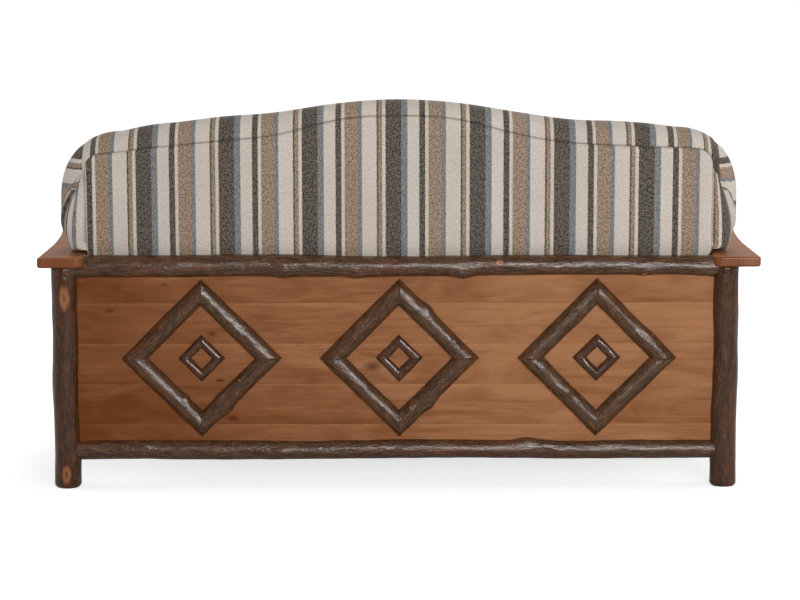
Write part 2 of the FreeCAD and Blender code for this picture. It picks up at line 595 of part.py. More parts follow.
def build_seat():
    full = f"2 * {SEAT_HALF}"
    for side in ("left", "right"):
        wall = f"{POST_X[side]} + {SIGN[side]} * {{panel_thick}} / 2"
        corner = wall if side == "left" else f"{wall} - {{ledger_width}}"
        ledger = box("ledger_" + side, "{ledger_width}", f"{SEAT_FRONT} - {{seat_board}} - {BACK_FRAME_FRONT}",
                     "{ledger_height}", corner, BACK_FRAME_FRONT, f"{SEAT_LOW} - {{ledger_height}}")
        keep(ledger, "seat_ledger_" + side)
        end_x = SEAT_LEFT if side == "left" else f"{SEAT_LEFT} + {full} - {{seat_board}}"
        end = box("seat_end_board_" + side, "{seat_board}",
                  f"{SEAT_FRONT} - {BACK_FRAME_FRONT} - 2 * {{seat_board}}", "{seat_frame_height}", end_x,
                  f"{BACK_FRAME_FRONT} + {{seat_board}}", SEAT_LOW)
        keep(end, "seat_end_" + side)
        middle = f"{FRAME_MID} - {SIGN[side]} * {{stretcher_pitch}} / 2 - {{seat_board}} / 2"
        brace = box("stretcher_" + side, "{seat_board}",
                    f"{SEAT_FRONT} - {BACK_FRAME_FRONT} - 2 * {{seat_board}}", "{seat_frame_height}", middle,
                    f"{BACK_FRAME_FRONT} + {{seat_board}}", SEAT_LOW)
        keep(brace, "seat_stretcher_" + side)
    front = box("seat_front_board", full, "{seat_board}", "{seat_frame_height}", SEAT_LEFT,
                f"{SEAT_FRONT} - {{seat_board}}", SEAT_LOW)
    keep(front, "seat_front_rail")
    rear = box("seat_rear_board", full, "{seat_board}", "{seat_frame_height}", SEAT_LEFT,
               BACK_FRAME_FRONT, SEAT_LOW)
    for name, sign, x, z in bolt_places():
        rear = hole(rear, "seat_hole_" + name, x, BACK_FRAME_FRONT + " - {seat_board}", z, "3 * {seat_board}")
    keep(rear, "seat_rear_rail")
    straps = []
    count, crossing = int(size("strap_count")), int(size("cross_count"))
    for k in range(count):
        share = (k + 0.5) / count
        straps.append(box(f"seat_strap_{k}", "{strap_width}", f"{SEAT_FRONT} - {BACK_FRAME_FRONT}",
                          "{strap_thick}", f"{SEAT_LEFT} + {full} * {share:.5f} - {{strap_width}} / 2",
                          BACK_FRAME_FRONT, SEAT_TOP))
    for k in range(crossing):
        share = (k + 0.5) / crossing
        straps.append(box(f"seat_cross_{k}", full, "{strap_width}", "{strap_thick}", SEAT_LEFT,
                          f"{BACK_FRAME_FRONT} + ({SEAT_FRONT} - {BACK_FRAME_FRONT}) * {share:.5f}"
                          " - {strap_width} / 2", f"{SEAT_TOP} + {{strap_thick}}"))
    keep(compound("seat_straps", straps), "seat_webbing")
    deck = box("seat_deck_felt", f"2 * ({ARM_IN} - {{cushion_room}})",
               f"{SEAT_FRONT} - {BACK_FRONT} - {{cushion_room}}", "{deck_thick}",
               f"-({ARM_IN} - {{cushion_room}})", f"{BACK_FRONT} + {{cushion_room}}", DECK_LOW)
    keep(deck, "seat_deck")


def drawn_ring(half_x, half_y, corner, draw, z):
    """A rounded rectangle whose sides draw in between its corners."""
    arcs = []
    signs = ((1, 1), (-1, 1), (-1, -1), (1, -1))
    starts, ends = [], []
    for k, (sx, sy) in enumerate(signs):
        middle = V(sx * (half_x - corner), sy * (half_y - corner), z)
        first, last = V(sx * corner, 0, 0), V(0, sy * corner, 0)
        if k % 2:
            first, last = last, first
        bow = (first + last) * ROOT_HALF
        arcs.append(Part.Arc(middle + first, middle + bow, middle + last).toShape())
        starts.append(middle + first)
        ends.append(middle + last)
    edges = []
    for k in range(4):
        a, b = ends[k], starts[(k + 1) % 4]
        inward = V(0, -1, 0) if k == 0 else V(1, 0, 0) if k == 1 else V(0, 1, 0) if k == 2 else V(-1, 0, 0)
        edges.append(arcs[k])
        edges.append(Part.Arc(a, (a + b) * 0.5 + inward * draw, b).toShape())
    return Part.Wire(edges)


def cushion_solid(width, depth, height, crown, corner, draw):
    """A boxed cushion: full at mid height, tucked in at the seams and crowned on top."""
    tuck = corner * 0.45
    levels = [(0.0, 1.0), (0.1, 0.33), (0.3, 0.03), (0.5, 0.0), (0.7, 0.03), (0.9, 0.33), (1.0, 1.0)]
    band = [drawn_ring(width / 2 - tuck * share, depth / 2 - tuck * share, corner - tuck * share * 0.4,
                       draw, level * height) for level, share in levels]
    rings = []
    reach = min(width, depth) / 2 - tuck - corner
    for step in (0.0, 0.3, 0.6, 0.9):
        inset = tuck + reach * step
        rise = crown * math.sin(step / 0.9 * math.pi / 2)
        rings.append(drawn_ring(width / 2 - inset, depth / 2 - inset, corner - tuck * 0.4,
                                draw * (1 - step), height + rise))
    sides = Part.makeLoft(band, True, False)
    top = Part.makeLoft(rings, True, False)
    return sides.fuse(top)


def soft_part(label, shape, place=V(0, 0, 0)):
    part = doc.addObject("Part::Feature", label + "_form")
    part.Shape = shape
    part.Placement = FreeCAD.Placement(place, FreeCAD.Rotation())
    return keep(part, label)


def build_cushions():
    room = 2 * (value_of(ARM_IN) - size("cushion_room"))
    width = (room - 2 * size("cushion_gap")) / 3
    rear = value_of(BACK_FRONT) + size("cushion_room")
    front = value_of(POST_Y["front"]) + size("cushion_overhang")
    for k, name in enumerate(("left", "centre", "right")):
        shape = cushion_solid(width, front - rear, size("cushion_height"), size("cushion_crown"),
                              size("cushion_corner"), size("cushion_draw"))
        place = V((k - 1) * (width + size("cushion_gap")), (front + rear) / 2, value_of(CUSHION_LOW))
        soft_part("seat_cushion_" + name, shape, place)


def rounded_outline(points, radii, plane):
    """A closed outline of straight runs and tangent arcs; plane() lifts (x, z) into space."""
    count = len(points)
    edges, tips = [], []
    for k in range(count):
        p, a, b = points[k], points[k - 1], points[(k + 1) % count]
        u = V(a[0] - p[0], a[1] - p[1], 0).normalize()
        w = V(b[0] - p[0], b[1] - p[1], 0).normalize()
        corner = V(p[0], p[1], 0)
        if not radii[k]:
            tips.append((corner, None, corner))
            continue
        half = u.getAngle(w) / 2
        reach = radii[k] / math.tan(half)
        bisector = (u + w).normalize()
        middle = corner + bisector * (radii[k] / math.sin(half))
        tips.append((corner + u * reach, middle - bisector * radii[k], corner + w * reach))
    lift = lambda q: plane(q.x, q.y)
    for k in range(count):
        first, bow, last = tips[k]
        if bow is not None:
            edges.append(Part.Arc(lift(first), lift(bow), lift(last)).toShape())
        edges.append(Part.LineSegment(lift(last), lift(tips[(k + 1) % count][0])).toShape())
    return Part.Wire(edges)


def camel_outline(half, down, low, y, lean=0.0, corner=None):
    """The camel-back outline of the given half width, drawn down from the full height."""
    shoulder = size("back_shoulder") - down
    hollow = shoulder + size("back_step")
    at = size("back_haunch_at")
    points = [(-half, low), (-half, shoulder), (-at, hollow), (0, hollow + size("back_rise")),
              (at, hollow), (half, shoulder), (half, low)]
    if corner is None:
        corner = size("back_corner_round") - (size("wing_half") - half) * 0.45
    bend = size("back_haunch_round")
    radii = [0, corner, bend, size("back_crest_round"), bend, corner, 0]
    slope = math.tan(math.radians(lean))
    foot = value_of(WING_LOW)
    return rounded_outline(points, radii, lambda x, z: V(x, y - slope * (z - foot), z))


def lower_back(rear, front, lean, low, high, half):
    """The part of the back between the arms: upright behind, leaning in front."""
    slope = math.tan(math.radians(lean))
    corners = [(rear, low), (rear, high), (front - slope * (high - low), high), (front, low)]
    outline = Part.makePolygon([V(-half, y, z) for y, z in corners + corners[:1]])
    block = Part.Face(outline).extrude(V(2 * half, 0, 0))
    edges = [e for e in block.Edges if e.BoundBox.XLength < 0.01 and e.BoundBox.ZLength > (high - low) / 2
             and e.CenterOfMass.y > (rear + front) / 2]
    return block.makeFillet(size("cushion_corner"), edges)


def build_back():
    gap, lean, low = size("soft_gap"), size("back_lean"), value_of(WING_LOW)
    rear, foot, front = value_of(BACK_REAR), value_of(BACK_LOW), value_of(BACK_FRONT)
    upper_rear = rear - size("back_swell")
    upper_front = front - math.tan(math.radians(lean)) * (low - foot)
    wing, seam = size("wing_half"), value_of(ARM_IN) - size("seam_in")
    down = size("seam_down")
    # Share of the depth, share of the seam's tuck at the sides and at the top, share of the lean
    stations = [(0.0, 1.0, 1.0, 0.0), (0.08, 0.75, 0.55, 0.0), (0.25, 0.38, 0.16, 0.0),
                (0.5, 0.05, 0.0, 0.3), (0.72, 0.0, 0.05, 0.7), (0.9, 0.18, 0.35, 0.95),
                (1.0, 0.6, 1.0, 1.0)]
    wires = [camel_outline(wing - (wing - seam) * side, down * top, low,
                           upper_rear + (upper_front - upper_rear) * share, lean * tilt)
             for share, side, top, tilt in stations]
    upper = Part.makeLoft(wires, True, False)
    half = value_of(ARM_IN) - size("cushion_room")
    overlap = (size("back_shoulder") - low) / 6
    lower = lower_back(rear, front, lean, foot, low + overlap, half)
    pad = upper.fuse(lower)
    # Room for the frame and its straps, open at the rear and below
    room = Part.Face(camel_outline(value_of(STILE_OUT) + gap, size("back_frame_down") - gap, 0, 2 * rear,
                                   corner=size("back_frame_corner")))
    hollow = room.extrude(V(0, value_of(BACK_FRAME_FRONT) + size("strap_thick") + gap - 2 * rear, 0))
    soft_part("back_pad", pad.cut(hollow))
    # Outside back, a lightly crowned panel that closes the room from behind
    crown = size("back_panel_crown")
    layers = [(0.0, 0.0, 0.0), (0.45, 0.06, 0.07), (0.85, 0.33, 0.27), (1.0, 1.0, 0.66)]
    tuck = size("seam_down")
    wires = [camel_outline(seam - tuck * side, down + tuck * top, low + tuck * side / 2,
                           upper_rear - gap - crown * share) for share, side, top in layers]
    soft_part("outside_back", Part.makeLoft(wires, True, False))


def build_back_frame():
    thick = "{back_frame_thick}"
    rail_top = camel_outline(value_of(STILE_OUT), size("back_frame_down"), value_of(BACK_RAIL_LOW),
                             value_of(BACK_REAR), corner=size("back_frame_corner"))
    soft_part("back_frame_top_rail", Part.Face(rail_top).extrude(V(0, size("back_frame_thick"), 0)))
    for side in ("left", "right"):
        out = -SIGN[side]
        corner = f"-{STILE_OUT}" if out < 0 else f"{STILE_OUT} - {{back_board}}"
        stile = box("back_stile_" + side, "{back_board}", thick, f"{BACK_RAIL_LOW} - {SEAT_LOW}", corner,
                    BACK_REAR, SEAT_LOW)
        for name, sign, x, z in bolt_places():
            if sign == out:
                stile = hole(stile, "back_hole_" + name, x, f"{BACK_REAR} - {thick}", z, f"3 * {thick}")
        keep(stile, "back_frame_stile_" + side)
        middle = box("back_middle_" + side, "{back_board}", thick,
                     f"{BACK_RAIL_LOW} - {BACK_LOW} - {{back_board}}",
                     f"{out} * {{back_stile_pitch}} / 2 - {{back_board}} / 2", BACK_REAR,
                     f"{BACK_LOW} + {{back_board}}")
        keep(middle, "back_frame_middle_" + side)
    low = box("back_low_board", f"2 * ({STILE_OUT} - {{back_board}})", thick, "{back_board}",
              f"-({STILE_OUT} - {{back_board}})", BACK_REAR, BACK_LOW)
    keep(low, "back_frame_bottom_rail")
    count = int(size("back_webs"))
    straps = []
    for k in range(count):
        share = (k + 0.5) / count
        height = f"{BACK_LOW} + {{back_board}} + ({BACK_RAIL_LOW} - {BACK_LOW} - {{back_board}}) * {share:.4f}"
        straps.append(box(f"back_strap_{k}", f"2 * {STILE_OUT}", "{strap_thick}", "{strap_width}",
                          f"-{STILE_OUT}", BACK_FRAME_FRONT, f"{height} - {{strap_width}} / 2"))
    keep(compound("back_straps", straps), "back_webbing")


def build_bolts():
    """Hexagon bolts from behind through stile and seat frame, each with its nut."""
    bolts = []
    grip = "({back_frame_thick} + {seat_board})"
    head = "({bolt_dia} * 0.65)"
    for name, sign, x, z in bolt_places():
        pieces = []
        shank = doc.addObject("Part::Cylinder", "bolt_shank_" + name)
        turn(shank, (1, 0, 0), -90)
        pieces.append(bind(shank, Radius="{bolt_dia} / 2", Height=f"{grip} + 2 * {head}", x=x, z=z,
                           y=f"{BACK_REAR} - {head} / 2"))
        for part, place in (("head", f"{BACK_REAR} - {head}"), ("nut", f"{BACK_REAR} + {grip}")):
            hexagon = doc.addObject("Part::Prism", f"bolt_{part}_{name}")
            hexagon.Polygon = 6
            turn(hexagon, (1, 0, 0), -90)
            pieces.append(bind(hexagon, Circumradius="{bolt_head} / 1.7321", Height=head, x=x, y=place, z=z))
        bolt = doc.addObject("Part::MultiFuse", "bolt_" + name)
        bolt.Shapes = pieces
        bolts.append(bolt)
    keep(compound("bolts", bolts), "back_bolts")


def check_and_write():
    doc.recompute()
    faults = []
    for obj in doc.Objects:
        if "Invalid" in obj.State or "Error" in obj.State:
            faults.append(f"{obj.Label} is in a failed state")
    for part in subparts:
        if part.Shape.isNull() or not part.Shape.isValid() or not part.Shape.Solids:
            faults.append(f"{part.Label} has no valid solid")
    if faults:
        raise RuntimeError("; ".join(faults))
    os.makedirs("parts", exist_ok=True)
    for part in subparts:
        part.Shape.exportStep(f"parts/{part.Label}.step")
    print(len(subparts), "sub-parts written")


build_frame()
build_panels()
build_diamonds()
arm("left")
arm("right")
build_seat()
build_cushions()
build_back_frame()
build_back()
build_bolts()
check_and_write()
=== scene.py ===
import math

import bmesh
import bpy
import numpy as np
from mathutils import Matrix, Vector


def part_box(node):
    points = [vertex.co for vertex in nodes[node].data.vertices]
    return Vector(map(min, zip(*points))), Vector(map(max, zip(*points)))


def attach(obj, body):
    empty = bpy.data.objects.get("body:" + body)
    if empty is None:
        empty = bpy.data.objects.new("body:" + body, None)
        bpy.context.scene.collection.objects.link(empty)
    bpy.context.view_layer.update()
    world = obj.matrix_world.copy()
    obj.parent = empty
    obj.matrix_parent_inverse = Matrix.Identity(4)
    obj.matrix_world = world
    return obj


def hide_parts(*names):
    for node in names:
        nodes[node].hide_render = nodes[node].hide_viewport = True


# Looks of a log-framed sofa with an upholstered camel back, seen from behind. Metres, +Z up.

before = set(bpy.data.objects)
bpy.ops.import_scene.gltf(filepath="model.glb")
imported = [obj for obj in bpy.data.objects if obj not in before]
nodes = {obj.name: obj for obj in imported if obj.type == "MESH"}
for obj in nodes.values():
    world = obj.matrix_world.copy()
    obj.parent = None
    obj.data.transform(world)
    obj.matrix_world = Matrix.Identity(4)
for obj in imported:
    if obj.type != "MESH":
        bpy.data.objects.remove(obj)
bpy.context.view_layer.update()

BODY = "sofa_frame"
THIRDS = ("left", "centre", "right")

# Places and sizes that the logs share
POST_X = {"left": -0.944, "right": 0.923}
POST_Y = {"rear": -0.4175, "front": 0.385}
POST_RADIUS = 0.037
SHOULDER = 0.632
SIDE_RAIL_Z = {"top": 0.586, "bottom": 0.152}
SIDE_RAIL_DIA = 0.055
# How far a stem wanders from its axis, and the share by which it swells
LOG_LEAN, LOG_SWELL = 0.002, 0.022
# Mesh of a log: rows a step apart, and columns round it
LOG_STEP, LOG_COLUMNS = 0.007, 56
# Rounding of a sawn end, and how far a coped end reaches into its post
END_REACH, END_DEPTH = 0.006, 0.005
COPE_OVERLAP = 0.002
# Half diagonal and strip width of the diamonds
REAR_DIAMOND, REAR_INNER = (0.2265, 0.054), (0.068, 0.027)
SIDE_DIAMOND, SIDE_INNER = (0.1655, 0.044), (0.056, 0.030)
# Mesh of a strip: rows a step apart, and columns over it; and how far it sinks into its panel
STRIP_STEP, STRIP_COLUMNS, STRIP_SINK = 0.006, 22, 0.0008


# Colours and noise

def rgb(red, green, blue):
    """A colour given in 0 to 255 display values, as linear light with full opacity."""
    shares = [c / 255 for c in (red, green, blue)]
    return tuple(c / 12.92 if c <= 0.04045 else ((c + 0.055) / 1.055) ** 2.4 for c in shares) + (1.0,)


def lattice(x, y, seed, wrap=None):
    """Smooth noise from -1 to 1 on a unit lattice; wrap repeats it along x."""
    column, row = np.floor(x).astype(int), np.floor(y).astype(int)
    fx, fy = x - column, y - row
    fx, fy = fx * fx * (3 - 2 * fx), fy * fy * (3 - 2 * fy)

    def corner(i, j):
        i = np.mod(i, wrap) if wrap else i
        mixed = np.sin(i * 127.1 + j * 311.7 + seed * 74.7) * 43758.5453
        return mixed - np.floor(mixed)

    low = corner(column, row) * (1 - fx) + corner(column + 1, row) * fx
    high = corner(column, row + 1) * (1 - fx) + corner(column + 1, row + 1) * fx
    return 2 * (low * (1 - fy) + high * fy) - 1


def layers(x, y, seed, octaves=3):
    """Several octaves of lattice noise."""
    total, weight = 0.0, 1.0
    for k in range(octaves):
        total = total + weight * lattice(x * 2 ** k, y * 2 ** k, seed + 17 * k)
        weight *= 0.5
    return total


def smoothstep(low, high, x):
    share = np.clip((x - low) / (high - low), 0, 1)
    return share * share * (3 - 2 * share)


def smooth_curve(values, at):
    """Catmull-Rom through evenly spaced values, read at places from 0 to 1."""
    values = np.asarray(values, float)
    place = np.clip(at, 0, 1) * (len(values) - 1)
    k = np.minimum(place.astype(int), len(values) - 2)
    t = place - k
    padded = np.concatenate([[2 * values[0] - values[1]], values, [2 * values[-1] - values[-2]]])
    a, b, c, d = (padded[k + i] for i in range(4))
    return 0.5 * (2 * b + (c - a) * t + (2 * a - 5 * b + 4 * c - d) * t ** 2
                  + (3 * b - a - 3 * c + d) * t ** 3)


# Node materials

class Nodes:
    """A node tree with short ways to add and join nodes."""

    def __init__(self, owner):
        owner.use_nodes = True
        self.tree = owner.node_tree

    def join(self, value, socket):
        if isinstance(value, bpy.types.NodeSocket):
            self.tree.links.new(value, socket)
        else:
            socket.default_value = value

    def add(self, kind, inputs=(), **settings):
        node = self.tree.nodes.new("ShaderNode" + kind)
        for key, value in settings.items():
            setattr(node, key, value)
        for key, value in dict(inputs).items():
            self.join(value, node.inputs[key])
        return node

    def uv(self, name):
        return self.add("UVMap", uv_map=name).outputs[0]

    def place(self):
        return self.add("TexCoord").outputs["Object"]

    def noise(self, vector, scale, detail=2.0, roughness=0.5, distortion=0.0, shift=(0, 0, 0)):
        """Noise with one scale for all axes, or with a scale for each axis and a shift."""
        if isinstance(scale, tuple):
            vector = self.add("Mapping", {"Vector": vector, "Scale": scale, "Location": shift}).outputs[0]
            scale = 1.0
        return self.add("TexNoise", {"Vector": vector, "Scale": scale, "Detail": detail,
                                     "Roughness": roughness, "Distortion": distortion}).outputs[0]

    def wave(self, vector, scale, direction, distortion, detail=2.0):
        return self.add("TexWave", {"Vector": vector, "Scale": scale, "Distortion": distortion,
                                    "Detail": detail},
                        wave_type="BANDS", bands_direction=direction).outputs[1]

    def math(self, operation, a, b=0.0, c=0.0):
        return self.add("Math", {0: a, 1: b, 2: c}, operation=operation).outputs[0]

    def scaled(self, value, factor, offset=0.0):
        return self.math("MULTIPLY_ADD", value, factor, offset)

    def ramp(self, value, stops, interpolation="LINEAR"):
        node = self.add("ValToRGB", {"Fac": value})
        node.color_ramp.interpolation = interpolation
        elements = node.color_ramp.elements
        while len(elements) < len(stops):
            elements.new(1.0)
        for element, (position, colour) in zip(elements, stops):
            element.position = position
            element.color = colour if isinstance(colour, tuple) else (colour, colour, colour, 1.0)
        return node.outputs[0]

    def mix(self, share, a, b, blend="MIX"):
        node = self.add("Mix", {0: share, 6: a, 7: b}, data_type="RGBA", blend_type=blend)
        return node.outputs[2]

    def split(self, vector):
        return self.add("SeparateXYZ", {0: vector}).outputs

    def attribute(self, name):
        return self.add("Attribute", attribute_name=name).outputs["Fac"]


class Graph(Nodes):
    """The nodes of a new material."""

    def __init__(self, name):
        self.material = bpy.data.materials.new(name)
        super().__init__(self.material)
        self.shader = self.tree.nodes["Principled BSDF"]

    def finish(self, colour, roughness, height=None, strength=0.5, distance=0.001, **constants):
        """Join the patterns to the shader; constants go straight onto its sockets."""
        self.join(colour, self.shader.inputs["Base Color"])
        self.join(roughness, self.shader.inputs["Roughness"])
        if height is not None:
            bump = self.add("Bump", {"Height": height, "Strength": strength, "Distance": distance})
            self.join(bump.outputs[0], self.shader.inputs["Normal"])
        for key, value in constants.items():
            self.shader.inputs[key.replace("_", " ").title().replace("Ior", "IOR")].default_value = value
        return self.material


def bark_material(name, tint, relief=1.0, coat=1.0):
    """Lacquered hickory bark: gritty ridges along the log, worn red patches, cut knots.

    tint multiplies the bark's colours, relief the depth of its ridges, and coat its lacquer's gloss.
    """
    def bark(red, green, blue):
        return tuple(light * share for light, share in zip(rgb(red, green, blue), tint)) + (1.0,)

    g = Graph(name)
    uv = g.uv("grain")
    ridges = g.noise(uv, (230, 30, 1), 5.0, 0.68, 0.6)
    plates = g.noise(uv, (46, 9, 1), 3.0, 0.55, 0.5, shift=(3.1, 8.2, 0))
    grit = g.noise(uv, (430, 210, 1), 2.0, 0.65, shift=(1.7, 4.4, 0))
    patches = g.noise(uv, (10, 5, 1), 2.0, 0.5, shift=(9.3, 2.2, 0))
    coarse = g.scaled(plates, 0.16, g.scaled(ridges, 0.5))
    height = g.scaled(grit, 0.34, coarse)
    colour = g.ramp(height, [(0.38, bark(28, 14, 6)), (0.46, bark(60, 36, 19)),
                             (0.54, bark(86, 56, 34)), (0.66, bark(126, 94, 66))])
    worn = g.ramp(patches, [(0.5, 0.0), (0.72, 0.7)])
    colour = g.mix(worn, colour, g.ramp(height, [(0.38, bark(46, 22, 12)), (0.6, bark(116, 66, 40))]))
    knot = g.scaled(g.attribute("knot"), g.scaled(ridges, 0.8, 0.6))
    sawn = g.ramp(knot, [(0.1, rgb(60, 30, 16)), (0.4, rgb(92, 46, 21)), (0.55, rgb(150, 89, 47)),
                         (0.8, rgb(174, 112, 66)), (0.97, rgb(112, 62, 32))])
    sawn = g.mix(0.75, sawn, g.ramp(ridges, [(0.36, 0.4), (0.6, 1.0)]), "MULTIPLY")
    colour = g.mix(g.ramp(knot, [(0.08, 0.0), (0.34, 0.75), (0.5, 1.0)]), colour, sawn)
    rough = g.ramp(height, [(0.38, 0.75), (0.62, 0.5)])
    dimples = g.noise(uv, (230, 75, 1), 2.0, 0.6, 0.4, shift=(2.3, 6.1, 0))
    lacquer = g.add("Bump", {"Height": dimples, "Strength": 0.5 * relief, "Distance": 0.003})
    g.join(lacquer.outputs[0], g.shader.inputs["Coat Normal"])
    return g.finish(colour, rough, height, relief, 0.005, specular_ior_level=0.0, coat_weight=coat,
                    coat_roughness=0.11 / coat)


def board_wood(name, grain, tones, first, width, gloss=0.42, ends=(), knots=(), shine=0.1, crown=0.0,
               lying=False):
    """Stained boards: long grain, a tone for each board and a painted highlight along each board's upper
    edge.

    grain is the axis that the boards run along; first and width place the joints in height.
    tones are the dark, middle and light colours, and gloss is the lowest roughness.
    ends lists places along the boards and their tone there, partly the boards' staining and partly painted
    shade.
    knots lists (place along, height, length, width) of dark knots, and crown is painted light that lightens
    the upper boards.
    A lying board has its grain side by side along X, and its upper face gets a painted highlight.
    """
    g = Graph(name)
    place = g.place()
    x, y, z = g.split(place)[:3]
    run = {"X": x, "Y": y}[grain]
    count = g.scaled(z, 1 / width, -first / width)
    board = g.math("FLOOR", count)
    across = g.math("FRACT", count)
    own = g.add("TexWhiteNoise", {"W": board}, noise_dimensions="1D").outputs[0]
    shifted = g.scaled(own, 7.0, run)
    side = g.scaled(z, 0.2, x) if lying else z
    seat = g.add("CombineXYZ", {0: shifted, 1: g.scaled(own, 3.0), 2: side}).outputs[0]
    clouds = g.noise(seat, (3.2, 1, 11), 3.0, 0.6, 0.9)
    grain_lines = g.noise(seat, (9, 1, 210), 4.0, 0.62, 0.9)
    pores = g.noise(seat, (60, 1, 800), 2.0, 0.6)
    tone = g.scaled(clouds, 0.7, g.scaled(grain_lines, 0.36, -0.03))
    tone = g.math("ADD", tone, g.scaled(own, 0.08, -0.04))
    # Painted highlight: each board is lightened towards its upper edge
    tone = g.math("ADD", tone, g.ramp(across, [(0.0, 0.0), (0.75, 0.06), (0.93, 0.09), (1.0, 0.2)]))
    tone = g.math("SUBTRACT", tone, 0.05)
    # Painted light: crown lightens the boards with height
    if crown:
        tone = g.scaled(z, crown, g.math("SUBTRACT", tone, crown * 0.3))
    # Partly stain, partly painted shade: ends sets the tone along the boards
    if ends:
        reach = g.add("MapRange", {"Value": run, "From Min": -1.0, "From Max": 1.0}).outputs[0]
        stain_and_shade = g.ramp(reach, [((at + 1) / 2, level) for at, level in ends])
        tone = g.math("ADD", tone, g.math("SUBTRACT", stain_and_shade, 0.5))
    colour = g.ramp(tone, [(0.24, tones[0]), (0.5, tones[1]), (0.76, tones[2])])
    colour = g.mix(g.ramp(pores, [(0.6, 0.0), (0.75, 0.35)]), colour, tones[0])
    streaks = g.noise(seat, (2.4, 1, 75), 2.0, 0.5, 0.6, shift=(4.0, 0, 2.0))
    colour = g.mix(g.ramp(streaks, [(0.58, 0.0), (0.72, 0.25)]), colour, tones[0])
    for along, level, length, thick in knots:
        reach = g.scaled(run, 1 / length, -along / length)
        rise = g.scaled(z, 1 / thick, -level / thick)
        away = g.math("SQRT", g.scaled(reach, reach, g.scaled(rise, rise)))
        away = g.math("ADD", away, g.scaled(grain_lines, 0.9, -0.45))
        colour = g.mix(g.ramp(away, [(0.2, 0.75), (0.6, 0.35), (1.0, 0.0)]), colour, rgb(66, 30, 18))
    # Painted highlight: the upward faces of a lying board are lightened
    if lying:
        upward = g.split(g.add("NewGeometry").outputs["Normal"])[2]
        colour = g.mix(g.ramp(upward, [(0.6, 0.0), (0.95, 0.5)]), colour, rgb(198, 130, 80))
    joint = g.math("MINIMUM", across, g.math("SUBTRACT", 1.0, across))
    colour = g.mix(g.ramp(joint, [(0.0, 0.55), (0.012, 0.0)]), colour, tones[0])
    rough = g.ramp(grain_lines, [(0.3, gloss), (0.7, gloss + 0.12)])
    height = g.math("ADD", grain_lines, g.scaled(pores, -0.4))
    return g.finish(colour, rough, height, 0.12, 0.0006, specular_ior_level=shine)


# The stripes' repeat, where it starts sideways, and how it widens to the right
STRIPE_PERIOD, STRIPE_START, STRIPE_SPREAD = 0.2361, -0.0376, 0.0095
CREAM = (rgb(219, 209, 199), rgb(196, 184, 172))
CHARCOAL = (rgb(124, 113, 103), rgb(14, 12, 11))
BLUE = (rgb(148, 151, 152), rgb(92, 95, 97))
TAN = (rgb(184, 160, 138), rgb(108, 89, 73))
# Each stripe's width in one repeat, in millimetres, and its two yarns
STRIPES = [(43.6, CHARCOAL), (17.7, BLUE), (33.7, CREAM), (16.3, CHARCOAL), (9.7, CREAM), (38.0, TAN),
           (10.6, BLUE), (41.5, CREAM), (4.9, CHARCOAL), (11.4, TAN), (9.4, CREAM)]


def striped_cloth():
    """Chenille stripes: each stripe is spun from a light and a dark yarn."""
    g = Graph("striped_fabric")
    folded = g.math("GREATER_THAN", g.attribute("fold"), 0.5)
    uv = g.mix(folded, g.uv("cloth"), g.uv("flap"))
    waver = g.noise(uv, (260, 260, 1), 1.0)
    place = g.math("ADD", g.split(uv)[0], g.scaled(waver, 0.004, -0.002))
    share = g.math("FRACT", g.scaled(place, 1 / STRIPE_PERIOD, -STRIPE_START / STRIPE_PERIOD))
    widths, yarns = zip(*STRIPES)
    starts = [sum(widths[:k]) / sum(widths) for k in range(len(widths))]
    light, dark = (g.ramp(share, [(s, y[k]) for s, y in zip(starts, yarns)], "CONSTANT") for k in (0, 1))
    slubs = g.noise(uv, (310, 230, 1), 2.0, 0.7)
    specks = g.noise(uv, (700, 540, 1), 1.0, 0.6, shift=(5.0, 3.0, 0))
    clumps = g.noise(uv, (150, 100, 1), 1.0, 0.6, shift=(2.0, 7.0, 0))
    threads = g.scaled(slubs, 0.6, g.scaled(specks, 0.2))
    yarn = g.scaled(clumps, 0.2, threads)
    colour = g.mix(g.ramp(yarn, [(0.43, 0.0), (0.57, 1.0)]), dark, light)
    wash = g.noise(uv, (5, 4, 1), 2.0)
    colour = g.mix(g.ramp(wash, [(0.3, 0.14), (0.7, 0.0)]), colour, rgb(120, 108, 98))
    # Painted shade: the cloth is darkened along its seams
    colour = g.mix(g.scaled(g.attribute("seam"), 0.4), colour, rgb(44, 37, 32))
    weave = g.scaled(g.wave(uv, 95.0, "X", 1.5, 1.0), g.wave(uv, 70.0, "Y", 1.5, 1.0))
    height = g.scaled(weave, 0.5, yarn)
    rough = g.ramp(yarn, [(0.3, 0.95), (0.7, 0.8)])
    return g.finish(colour, rough, height, 0.55, 0.0012, specular_ior_level=0.15, sheen_weight=0.08,
                    sheen_roughness=0.5)


def plain_wood():
    """Brown-stained boards of the seat and back frames."""
    g = Graph("frame_wood")
    place = g.place()
    rings = g.noise(place, (9, 60, 60), 4.0, 0.6, 0.8)
    fine = g.noise(place, (60, 500, 500), 2.0)
    colour = g.ramp(rings, [(0.3, rgb(104, 70, 42)), (0.7, rgb(146, 106, 68))])
    colour = g.mix(g.ramp(fine, [(0.55, 0.0), (0.7, 0.3)]), colour, rgb(84, 54, 32))
    return g.finish(colour, g.ramp(fine, [(0.3, 0.6), (0.7, 0.78)]), rings, 0.2, 0.0008)


def woven_strap():
    """Jute webbing with an open weave and pale fuzz."""
    g = Graph("webbing")
    place = g.place()
    weave = g.scaled(g.wave(place, 60.0, "X", 0.6), g.wave(place, 60.0, "Y", 0.6))
    fuzz = g.noise(place, 420.0, 2.0)
    colour = g.ramp(weave, [(0.1, rgb(110, 84, 52)), (0.7, rgb(186, 152, 104))])
    colour = g.mix(g.ramp(fuzz, [(0.5, 0.0), (0.75, 0.4)]), colour, rgb(206, 178, 136))
    return g.finish(colour, g.ramp(fuzz, [(0.3, 0.85), (0.7, 0.95)]), weave, 0.6, 0.001)


